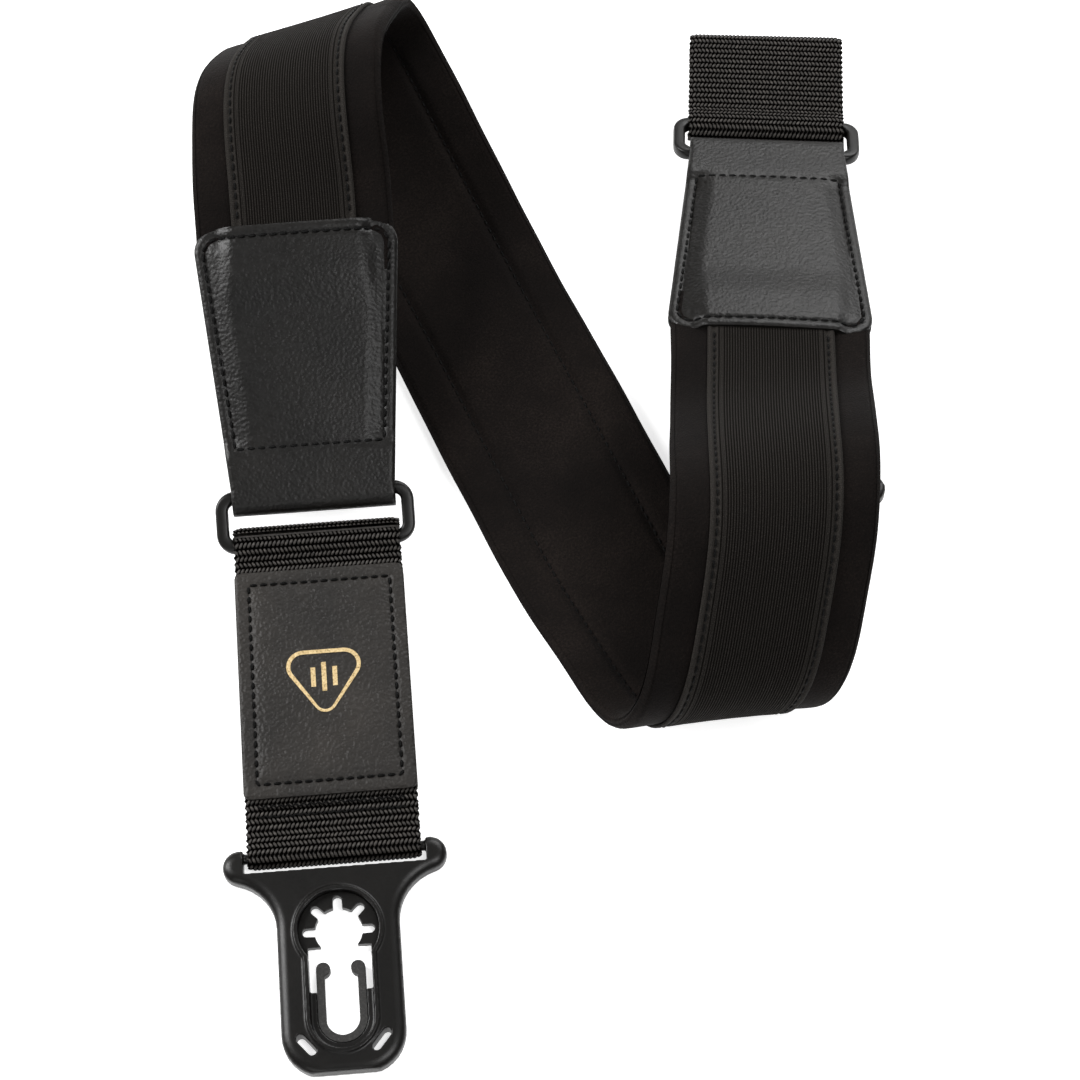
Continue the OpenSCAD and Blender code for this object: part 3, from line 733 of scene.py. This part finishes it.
def tab_stitch_line():
    """Closed stitch line on a tab's face, starting at a corner of its straight top."""
    inset = TAB_STITCH_INSET
    r = TAB_CORNER - inset
    y_end = -TAB_LEN + inset + r
    x_end = TAB_PAD_W / 2 - inset - r
    x_top = tab_half_width(np.array(-TAB_STITCH_TOP)) - inset
    a = np.radians(np.arange(0, 91, 15))
    right = [(x_end + r * math.cos(v), y_end - r * math.sin(v)) for v in a]
    left = [(-x_end - r * math.sin(v), y_end - r * math.cos(v)) for v in a]
    corner = (x_top, -TAB_STITCH_TOP)
    return np.array([corner] + right + left + [(-x_top, -TAB_STITCH_TOP), corner])


def resampled(line, pitch):
    step = np.linalg.norm(np.diff(line, axis=0), axis=1)
    s = np.concatenate([[0], np.cumsum(step)])
    at = np.linspace(0, s[-1], max(2, round(s[-1] / pitch)))
    return np.stack([np.interp(at, s, line[:, k]) for k in range(line.shape[1])], axis=1)


def tab_stitch_places(matrix):
    line = resampled(tab_stitch_line(), 1.0)
    places = []
    for side in (1, -1):
        z = side * (TAB_OUTER - tab_drop(line[:, 0], line[:, 1]))
        path = moved(np.column_stack([line, z]), matrix)
        normals = np.tile(side * matrix[:3, 2], (len(path), 1))
        places += stitch_places(path, TAB_STITCH_PITCH, normals)
    return places


FILLER_INSET = 1.3
FILLER_SQUEEZE = 0.36
FILLER_END = -PAD_OUT * STEP


def tab_filler(name, matrix, cad_node):
    """Foam core between the two leather faces, with bulging sides."""
    y = np.linspace(FILLER_END, -4, 40)
    frames, widths, heights = [], [], []
    for v in y:
        half = float(tab_half_width(np.array(v))) - FILLER_INSET
        x, h, _ = closed_section(half, -TAB_INNER, TAB_INNER, 31, 31, 1.6)
        squeeze = 1 - FILLER_SQUEEZE * ease((np.abs(x) - half + 6) / 6) * float(ease((-v - 12) / 6))
        frames.append([moved(np.array([0, v, 0]), matrix), None, matrix[:3, 0], -matrix[:3, 2], 0])
        widths.append(x + 0.15 * np.sign(x) * math.sin(v * 0.9))
        heights.append(h * squeeze)
    piece = ribbon(name, frames, np.array(widths), np.array(heights), JERSEY)
    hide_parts(cad_node)
    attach(piece, "strap")


# ---- Rectangular loops ----
RING_CORNER = 4
RING_SIDES = 24


def loop_path(half_w, pitch, corner):
    """Closed line round a loop with its outward direction at each point."""
    centres = [(half_w - corner, pitch - corner, 0), (-half_w + corner, pitch - corner, 90),
               (-half_w + corner, corner, 180), (half_w - corner, corner, 270)]
    line = []
    for x, y, start in centres:
        for a in np.radians(start + np.arange(0, 91, 9)):
            line.append((x + corner * math.cos(a), y + corner * math.sin(a), math.cos(a), math.sin(a)))
    return line


def ring_loop(name, matrix, body, cad_node):
    """Moulded loop: round where fabric runs over it, squarer at the two ends."""
    half_w = RING_IN_W / 2 + RING_R
    angles = np.linspace(0, 2 * np.pi, RING_SIDES, endpoint=False)
    rows = []
    for x, y, nx, ny in loop_path(half_w, RING_PITCH, RING_CORNER):
        square = 1 + 1.4 * float(ease((abs(x) - half_w + RING_CORNER) / RING_CORNER))
        c = np.sign(np.cos(angles)) * np.abs(np.cos(angles)) ** (1 / square)
        s = np.sign(np.sin(angles)) * np.abs(np.sin(angles)) ** (1 / square)
        size = RING_R * (1 - 0.04 * (square - 1))
        parting = 1 + 0.03 * bump_at(np.abs(np.sin(angles)), 0, 0.12)
        out = np.array([nx, ny, 0])
        rows.append(np.array([x, y, 0]) + size * (parting * c)[:, None] * out + size * s[:, None] * UP)
    points = np.array(rows)
    count = len(rows)
    index = np.arange(count * len(angles)).reshape(count, -1)
    after = np.roll(index, -1, axis=1)
    ahead, ahead_after = np.roll(index, -1, axis=0), np.roll(after, -1, axis=0)
    faces = np.stack([index, after, ahead_after, ahead], axis=-1).reshape(-1, 4).tolist()
    flat = points.reshape(-1, 3)
    piece = new_piece(name, moved(flat, matrix), faces, flat[:, :2], PLASTIC)
    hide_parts(cad_node)
    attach(piece, body)


# ---- Webbing ----
ROW_PITCH = 2.0
YARN_PITCH = 1.25
WEAVE_DEPTH = 0.5
WEB_COLUMNS = 321
SELVEDGE_WAVE = 0.32
SELVEDGE_W = 2.2


def weave_height(u, v):
    """Height of the webbing's yarn knuckles; the slant turns over from row to row."""
    row = np.floor(v / ROW_PITCH)
    fv = v / ROW_PITCH - row - 0.5
    slant = np.where(row % 2 == 0, 0.75, -0.75)
    x = u / YARN_PITCH + slant * fv + 0.25 * (row % 2)
    fu = x - np.floor(x) - 0.5
    return np.sqrt(np.clip(1 - (fu / 0.44) ** 2 - (fv / 0.46) ** 2, 0, None))


def web_strip(name, frames, offsets, cad_node, body, weave_from=0.0, weave_to=1e9):
    """Webbing along frames whose middle lies at an offset to the back; knuckles stand on both faces."""
    x, z, share = closed_section(WEB_W / 2, -WEB_T / 2, WEB_T / 2, WEB_COLUMNS, 41, 0.5)
    p = np.array([f[0] + o * f[3] for f, o in zip(frames, offsets)])
    v = np.concatenate([[0], np.cumsum(np.linalg.norm(np.diff(p, axis=0), axis=1))])[:, None]
    woven = ease((v - weave_from) / 1.5) * ease((weave_to - v) / 1.5)
    knuckle = weave_height(x[None], v) * woven
    front = (1 - share)[None]
    edge = 1 - 0.5 * ease((np.abs(x) - WEB_W / 2 + SELVEDGE_W) / 2)[None]
    heights = z[None] * edge + front * WEAVE_DEPTH * (0.75 - knuckle)
    selvedge = SELVEDGE_WAVE * np.sin(v * 2 * np.pi / ROW_PITCH) * ease((np.abs(x)[None] - WEB_W / 2 + 1) / 1)
    widths = x[None] + np.sign(x)[None] * (selvedge - 0.1)
    heights = heights + np.array(offsets)[:, None]
    # Relief for the webbing's painted shade: knuckle height where the front is woven, middle values on its
    # plain parts and on the other face.
    tops = np.where(woven > 0.5, knuckle, 0.6) * front + 0.5 * (1 - front)
    piece = ribbon(name, frames, widths, heights, WEBBING, tops)
    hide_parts(cad_node)
    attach(piece, body)


left_ring_bar = joint_point("left_webbing_turn")
left_lock_bar = joint_point("left_lock_turn")
left_web_slope = math.degrees(math.asin((left_ring_bar[2] - left_lock_bar[2]) / LEFT_WEB_LEN))
left_web_place = place(left_ring_bar, left_x, left_web_slope)


def loop_half(y):
    near = (RING_WRAP + WEB_T - DOUBLE_HALF) * (1 - ease(y / PINCH))
    far = (LOCK_WRAP + WEB_T - DOUBLE_HALF) * (1 - ease((LEFT_WEB_LEN - y) / PINCH))
    return DOUBLE_HALF + near + far


# Fine steps up to the first, where the webbing's end is seen, and past the second, by the lock
FINE_UNTIL = 12
FINE_AGAIN = 74
FINE_STEP = 0.4
COARSE_STEP = 1.2


def left_webbing():
    """Doubled belt of webbing: front layer, round the lock's bar, back layer, round the loop's bar."""
    length = LEFT_WEB_LEN
    ys = np.concatenate([np.arange(-WEB_SLACK, FINE_UNTIL, FINE_STEP),
                         np.arange(FINE_UNTIL, FINE_AGAIN, COARSE_STEP),
                         np.arange(FINE_AGAIN, length, FINE_STEP)])
    zs = loop_half(ys) - WEB_T / 2
    far_r = LOCK_WRAP + WEB_T / 2
    near_r = RING_WRAP + WEB_T / 2
    far = np.radians(np.arange(90, -91, -9))
    near = np.radians(np.arange(270, 89, -8))
    back_y = np.arange(length - 0.5, -WEB_SLACK + 0.3, -COARSE_STEP)
    yz = np.concatenate([
        np.column_stack([ys, zs]),
        np.column_stack([length + far_r * np.cos(far), far_r * np.sin(far)]),
        np.column_stack([back_y, -(loop_half(back_y) - WEB_T / 2)]),
        np.column_stack([near_r * np.cos(near[:-1]) - WEB_SLACK, near_r * np.sin(near[:-1])]),
    ])
    travel = np.gradient(yz, axis=0)
    frames = []
    for (y, z), (dy, dz) in zip(yz, travel):
        t = unit(left_web_place[:3, 1] * dy + left_web_place[:3, 2] * dz)
        e = left_web_place[:3, 0]
        frames.append([moved(np.array([0, y, z]), left_web_place), t, e, unit(np.cross(t, e)), 0])
    web_strip("left_webbing_weave", frames, np.zeros(len(frames)), "left_webbing", "left_strap_end")


TACK_PITCH = 1.1
TACK_TILT = 0.9
TACK_MARGIN = 4


def sewn_bar(name, matrix, z, ys, cad_node, body):
    """Close zigzag stitches across the webbing."""
    places = []
    half = WEB_W / 2 - TACK_MARGIN
    for y in ys:
        for i, x in enumerate(np.arange(-half, half, TACK_PITCH)):
            tilt = TACK_TILT if i % 2 else -TACK_TILT
            places.append((np.array([x, y, z]), np.array([TACK_PITCH, tilt, 0]), UP))
    turn = matrix[:3, :3]
    world = [(moved(p, matrix), turn @ d, turn @ n) for p, d, n in places]
    piece = stitches(name, world, 1.5, 0.26, THREAD)
    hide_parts(cad_node)
    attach(piece, body)


# ---- Patches ----
PATCH_Y = PINCH + 2.5
PATCH_CORNER = 2.0
PATCH_INSET = 4.2
PATCH_ROW_DEPTH = 0.4
PATCH_BORDER_DROP = 0.35
PATCH_EDGE_DROP = 0.35


def patch_drop(x, y):
    """How far the patch's face lies below its full height; y is 0 at the patch's loop end."""
    d = np.minimum(PATCH_W / 2 - np.abs(x), np.minimum(y, PATCH_LEN - y))
    row = PATCH_ROW_DEPTH * bump_at(d, PATCH_INSET, 0.6)
    border = PATCH_BORDER_DROP * (1 - ease((d - PATCH_INSET) / 4))
    rounding = PATCH_EDGE_DROP * (1 - ease(d / 0.8))
    soft = 0.08 * np.sin(x / 5 + y / 8) + 0.06 * np.sin(y / 3.1 - x / 9)
    return row + border + rounding + soft


def patch(name, side, cad_node):
    """Leather patch; side 1 is the front."""
    ends = np.array([0, 0.3, 0.8, 1.4, 2.0])
    ys = np.concatenate([ends, np.linspace(2.6, PATCH_LEN - 2.6, 90), PATCH_LEN - ends[::-1]])
    frames, widths, heights = [], [], []
    for y in ys:
        short = PATCH_CORNER - min(y, PATCH_LEN - y, PATCH_CORNER)
        cut = PATCH_CORNER - math.sqrt(max(PATCH_CORNER**2 - short**2, 0))
        half = PATCH_W / 2 - cut
        x, h, share = closed_section(half, 0, LEATHER_T, 81, 21, 0.4)
        point = np.array([0, PATCH_Y + y, side * (DOUBLE_HALF + LEATHER_T)])
        n = -side * left_web_place[:3, 2]
        frames.append([moved(point, left_web_place), None, left_web_place[:3, 0], n, 0])
        widths.append(x)
        heights.append(h + (1 - share) * patch_drop(x, np.full_like(x, y)))
    piece = ribbon(name, frames, np.array(widths), np.array(heights), PATCH_LEATHER)
    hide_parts(cad_node)
    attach(piece, "left_strap_end")


def patch_stitches():
    x = PATCH_W / 2 - PATCH_INSET
    y0, y1 = PATCH_INSET, PATCH_LEN - PATCH_INSET
    line = resampled(np.array([(x, y0), (x, y1), (-x, y1), (-x, y0), (x, y0)]), 1.0)
    places = []
    for side in (1, -1):
        z = side * (DOUBLE_HALF + LEATHER_T - patch_drop(line[:, 0], line[:, 1]))
        path = moved(np.column_stack([line[:, 0], PATCH_Y + line[:, 1], z]), left_web_place)
        normals = np.tile(side * left_web_place[:3, 2], (len(path), 1))
        places += stitch_places(path, STITCH_PITCH, normals)
    piece = stitches("patch_stitches", places, STITCH_LEN, 0.46, THREAD)
    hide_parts("patch_stitching")
    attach(piece, "left_strap_end")


# ---- Right webbing ----
FOLD_LEN = 12
FOLD_SLANT = -0.7
FOLD_RISE = 0.39 * FOLD_LEN
TABLE_GAP = 0.25
RIGHT_WEB_LEN = RIGHT_WEB_RISE + FOLD_LEN + RIGHT_WEB_RUN
SLIDER_AT = RIGHT_WEB_RISE + FOLD_LEN + 95
SLIDER_BAR_R = 1.4
SLIDER_RISE = 3
SLIDER_HOOK = SLIDER_BAR_R + 0.2 + WEB_T / 2
SLIDER_MID = LAYER + SLIDER_HOOK + WEB_T + 0.1 - LAYER * 2
BAR_OFFSET = RING_WRAP + WEB_T / 2
LOCK_HOOK = LOCK_WRAP + WEB_T / 2
HUMP_HALF = 9
LOCK_RETURN = 25

right_ring_bar = joint_point("right_webbing_turn")
right_lock_bar = joint_point("right_lock_turn")
web_rise = right_ring_bar[2] - DOUBLE_HALF - TABLE_GAP - FOLD_RISE
web_slope = math.degrees(math.asin(web_rise / RIGHT_WEB_RISE))
web_t = outward(right_x, web_slope)
# The turn under the strap, a slow rise past the slider, and a small droop before the lock
RIGHT_WEB_BENDS = [
    (RIGHT_WEB_RISE + FOLD_LEN / 2, FOLD_LEN, 180 - web_slope, FOLD_SLANT),
    (RIGHT_WEB_LEN - 62, 40, 9, 0),
    (RIGHT_WEB_LEN - 14, 24, -2, 0),
]
right_web_start = [right_ring_bar, web_t, right_x, np.cross(web_t, right_x), 0]
right_web = walk(right_web_start, RIGHT_WEB_BENDS, RIGHT_WEB_LEN, 1)
right_web_end = right_web[-1]
slack_start = [right_ring_bar - WEB_SLACK * web_t, web_t, right_x, right_web[0][3], -WEB_SLACK]
slack_run = refined([slack_start, right_web[0]], 6)[:-1]
slider_frame = right_web[SLIDER_AT]


def hump(s, at):
    near = np.abs(s - at) < HUMP_HALF
    return np.where(near, SLIDER_RISE * (1 + np.cos(np.pi * (s - at) / HUMP_HALF)) / 2, 0)


def long_layer(s):
    over_bars = hump(s, SLIDER_AT - SLIDER_PITCH) + hump(s, SLIDER_AT + SLIDER_PITCH)
    return -LAYER - (BAR_OFFSET - LAYER) * (1 - ease(s / PINCH)) + over_bars


def return_layer(s):
    climb = SLIDER_RISE + (SLIDER_MID + SLIDER_HOOK - SLIDER_RISE - LAYER) * ease(
        (s - SLIDER_AT + SLIDER_PITCH) / SLIDER_PITCH)
    over = np.where(s < SLIDER_AT - SLIDER_PITCH, hump(s, SLIDER_AT - SLIDER_PITCH), climb)
    return LAYER + (BAR_OFFSET - LAYER) * (1 - ease(s / PINCH)) + over


def lock_layer(s):
    return LAYER + 2 * (LOCK_HOOK - LAYER) * (1 - ease((RIGHT_WEB_LEN - s) / PINCH))


def wrap_frames(centre, f, start, stop, step):
    return [[centre, turned(f[1], f[2], a), f[2], turned(f[3], f[2], a), f[4]]
            for a in np.arange(start, stop, step)]


def right_webbing():
    """Long layer: round the loop's bar, up to the fold, back under the strap and round the lock's bar."""
    seen = refined(right_web[: RIGHT_WEB_RISE + FOLD_LEN + 12], 3)
    run = slack_run + seen + right_web[RIGHT_WEB_RISE + FOLD_LEN + 12:]
    back = [[p, -t, e, -n, s] for p, t, e, n, s in reversed(right_web[-LOCK_RETURN:])]
    near_bar = wrap_frames(slack_start[0], slack_start, 180, 5, -8)
    far_bar = wrap_frames(right_lock_bar, right_web_end, -12, -170, -12)
    offsets = np.concatenate([
        np.full(len(near_bar), -BAR_OFFSET),
        long_layer(column(run, 4)),
        np.full(len(far_bar), -LOCK_HOOK),
        -lock_layer(column(back, 4)),
    ])
    web_strip("right_webbing_weave", near_bar + run + far_bar + back, offsets, "right_webbing",
              "right_strap_end")


def right_webbing_return():
    """Second layer, from the loop's bar to its hook round the slider's centre bar."""
    run = slack_run + right_web[: SLIDER_AT + 1]
    centre = slider_frame[0] + SLIDER_MID * slider_frame[3]
    hook = wrap_frames(centre, slider_frame, 12, 181, 12)
    offsets = np.concatenate([return_layer(column(run, 4)), np.full(len(hook), SLIDER_HOOK)])
    web_strip("right_webbing_return_weave", run + hook, offsets, "right_webbing_return", "right_strap_end",
              weave_from=1e8)


# ---- Moulded parts from their CAD solids ----
KEPT_FACES = 0.35


def baked(piece):
    """Makes a piece's modifiers part of its mesh."""
    bpy.context.view_layer.update()
    graph = bpy.context.evaluated_depsgraph_get()
    mesh = bpy.data.meshes.new_from_object(piece.evaluated_get(graph))
    piece.modifiers.clear()
    piece.data = mesh
    return mesh


def softened(name, cad_node, mat, body, voxel, rounds, shape=None, matrix=None):
    """A moulded copy of a CAD node: remeshed finely, its edges rounded, and then shaped."""
    source = frame["nodes"][cad_node]
    piece = bpy.data.objects.new(name, source.data.copy())
    piece.data.materials.clear()
    bpy.context.scene.collection.objects.link(piece)
    remesh = piece.modifiers.new("remesh", "REMESH")
    remesh.mode = "VOXEL"
    remesh.voxel_size = voxel * MM
    smooth = piece.modifiers.new("smooth", "SMOOTH")
    smooth.iterations = rounds
    smooth.factor = 0.5
    done = baked(piece)
    if shape:
        co = np.empty(len(done.vertices) * 3)
        done.vertices.foreach_get("co", co)
        own = moved(co.reshape(-1, 3) / MM, np.linalg.inv(matrix))
        done.vertices.foreach_set("co", (moved(shape(own), matrix) * MM).ravel())
    thin = piece.modifiers.new("thin", "DECIMATE")
    thin.ratio = KEPT_FACES
    done = baked(piece)
    for polygon in done.polygons:
        polygon.use_smooth = True
    done.materials.clear()
    done.materials.append(mat)
    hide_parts(cad_node)
    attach(piece, body)


def lock_outline():
    """Outline of a lock's body: horns, concave necks and a rounded tip, for its rounded rim."""
    nose_r = 4.9
    nose = np.array([LOCK_HORN_W / 2 - nose_r, 2.6])
    half = LOCK_BODY_W / 2
    neck_r = 15
    reach = half + neck_r
    neck = np.array([reach, nose[1] + math.sqrt((nose_r + neck_r) ** 2 - (reach - nose[0]) ** 2)])
    meet = math.degrees(math.atan2(neck[1] - nose[1], neck[0] - nose[0]))
    corner = 12
    side = [nose + nose_r * np.array([math.cos(a), math.sin(a)])
            for a in np.radians(np.linspace(-100, meet, 15))]
    side += [neck + neck_r * np.array([math.cos(a), math.sin(a)])
             for a in np.radians(np.linspace(meet + 180, 180, 12)[1:])]
    side += [np.array([half - corner + corner * math.cos(a), LOCK_LEN - corner + corner * math.sin(a)])
             for a in np.radians(np.arange(0, 91, 10))]
    side = np.array(side)
    return resampled(np.concatenate([side, side[::-1] * [-1, 1], side[:1]]), 0.6)


LOCK_RIM = lock_outline()
RIM_ROUND = 3.2
BACK_FALL = 1.0
FRONT_FALL = 2.1
POINTS_AT_ONCE = 4000


def domed(points):
    """Rounds a lock body's front and back towards its outline."""
    d = np.full(len(points), 99.0)
    for i in range(0, len(points), POINTS_AT_ONCE):
        block = points[i:i + POINTS_AT_ONCE, None, :2] - LOCK_RIM[None]
        d[i:i + POINTS_AT_ONCE] = np.sqrt((block**2).sum(-1)).min(1)
    top = ease((points[:, 2] - LOCK_T / 2) / (LOCK_T / 2))
    low = ease((LOCK_T / 2 - points[:, 2]) / (LOCK_T / 2))
    fall = 1 - np.sqrt(np.clip(1 - (1 - np.clip(d / RIM_ROUND, 0, 1)) ** 2, 0, None))
    shaped = points.copy()
    shaped[:, 2] += BACK_FALL * low * fall - FRONT_FALL * top * fall
    return shaped


def lock_places():
    left = place(left_lock_bar, left_x, 0)
    right = place(right_lock_bar, joint_axis("right_lock_turn"), slope_of(right_web_end[1]))
    drop = np.eye(4)
    drop[2, 3] = -LOCK_BAR_H
    flip = np.diag([-1.0, 1.0, -1.0, 1.0])
    return {"left": left @ drop, "right": right @ flip @ drop}


# Remeshing size of a lock's body; the second lock is almost hidden
LOCK_VOXEL = {"left": 0.3, "right": 0.45}
SMALL_VOXEL = 0.2


def locks():
    for side, matrix in lock_places().items():
        body = side + "_lock"
        softened(body + "_body_moulded", body + "_body", PLASTIC, body, LOCK_VOXEL[side], 4,
                 domed, matrix)
        softened(body + "_fork_moulded", body + "_fork", FORK_PLASTIC, body,
                 SMALL_VOXEL, 3)
        softened(body + "_fingers_moulded", body + "_finger_plate", PLASTIC, body,
                 SMALL_VOXEL, 3)


# ---- Scene ----
def build():
    neoprene_pad()
    front_band()
    band_stitches()
    tab("left_tab_leather", "left_tab_stitches", left_end, ["left_tab"], "left_tab_stitching")
    tab("right_tab_leather", "right_tab_stitches", right_end, ["right_tab"], "right_tab_stitching")
    tab_filler("left_tab_core", left_end, "left_tab_filler")
    tab_filler("right_tab_core", right_end, "right_tab_filler")
    right_loop = place(joint_point("right_loop_turn"), right_x, RIGHT_RING_SLOPE)
    ring_loop("left_loop_moulded", left_end, "left_loop", "left_ring")
    ring_loop("right_loop_moulded", right_loop, "right_loop", "right_ring")
    left_webbing()
    patch("front_patch_leather", 1, "front_patch")
    patch("back_patch_leather", -1, "back_patch")
    patch_stitches()
    tack_y = PATCH_Y + PATCH_LEN
    sewn_bar("left_web_tacks", left_web_place, DOUBLE_HALF + 0.1, [tack_y + 2.4, tack_y + 5.4],
             "left_web_stitching", "left_strap_end")
    right_webbing()
    right_webbing_return()
    tack = right_web[RIGHT_WEB_LEN - 16]
    tack_place = place(tack[0] + (LAYER + WEB_T / 2) * tack[3], -level(tack[2]), slope_of(tack[1]))
    sewn_bar("right_web_tacks", tack_place, 0.1, [-4, 4], "right_web_stitching", "right_strap_end")
    softened("slider_moulded", "slider", PLASTIC, "right_strap_end", 0.35, 3)
    locks()
    frame["nodes"]["patch_emblem"].data.materials.clear()
    frame["nodes"]["patch_emblem"].data.materials.append(FOIL)


FLOOR_HALF = 3.0
FLOOR_GLOW = 0.7


def floor():
    half = FLOOR_HALF
    mesh = bpy.data.meshes.new("floor")
    mesh.from_pydata([(-half, -half, 0), (half, -half, 0), (half, half, 0), (-half, half, 0)], [],
                     [(0, 1, 2, 3)])
    piece = bpy.data.objects.new("floor", mesh)
    bpy.context.scene.collection.objects.link(piece)
    mat = material("pale_floor", 0.9, specular=0.1)
    inputs = shader_inputs(mat)
    inputs["Base Color"].default_value = (0.9, 0.9, 0.9, 1)
    inputs["Emission Color"].default_value = (1, 1, 1, 1)
    inputs["Emission Strength"].default_value = FLOOR_GLOW
    mesh.materials.append(mat)


def soft_light(name, place_m, aim_m, size_m, watts):
    data = bpy.data.lights.new(name, "AREA")
    data.shape = "RECTANGLE"
    data.size, data.size_y = size_m
    data.energy = watts
    lamp = bpy.data.objects.new(name, data)
    lamp.location = place_m
    lamp.rotation_mode = "QUATERNION"
    lamp.rotation_quaternion = (Vector(aim_m) - Vector(place_m)).to_track_quat("-Z", "Y")
    bpy.context.scene.collection.objects.link(lamp)


# Name, place, aim and size in metres, and power in watts
LIGHTS = [
    ("key", (0.5, 1.05, 0.85), (0, 0, 0), (1.1, 0.7), 15),
    ("overhead", (0.42, -0.38, 1.15), (0, 0, 0), (0.3, 0.5), 5.5),
    ("side", (-0.95, 0.25, 0.75), (-0.05, -0.1, 0), (0.4, 0.8), 16),
    ("front_fill", (-0.3, -1.2, 0.9), (0, 0, 0), (0.8, 0.5), 3),
]
WORLD_STRENGTH = 0.10


def lights():
    for name, place_m, aim_m, size_m, watts in LIGHTS:
        soft_light(name, place_m, aim_m, size_m, watts)
    world = bpy.data.worlds.new("studio")
    world.use_nodes = True
    world.node_tree.nodes["Background"].inputs["Color"].default_value = (1, 1, 1, 1)
    world.node_tree.nodes["Background"].inputs["Strength"].default_value = WORLD_STRENGTH
    bpy.context.scene.world = world
    bpy.context.scene.view_settings.view_transform = "Standard"


CAMERA_TILT = 25
CAMERA_FAR = 0.838
CAMERA_LENS = 91.67
CAMERA_SENSOR = 36
CAMERA_AIM = Vector((0.0014, -0.0082, 0))


def camera():
    data = bpy.data.cameras.new("camera")
    data.lens = CAMERA_LENS
    data.sensor_width = CAMERA_SENSOR
    eye = bpy.data.objects.new("camera", data)
    tilt = math.radians(CAMERA_TILT)
    back = Vector((0, -math.sin(tilt), math.cos(tilt)))
    eye.location = CAMERA_AIM + back * CAMERA_FAR
    eye.rotation_mode = "QUATERNION"
    eye.rotation_quaternion = (-back).to_track_quat("-Z", "Y")
    bpy.context.scene.collection.objects.link(eye)
    bpy.context.scene.camera = eye


build()
floor()
lights()
camera()
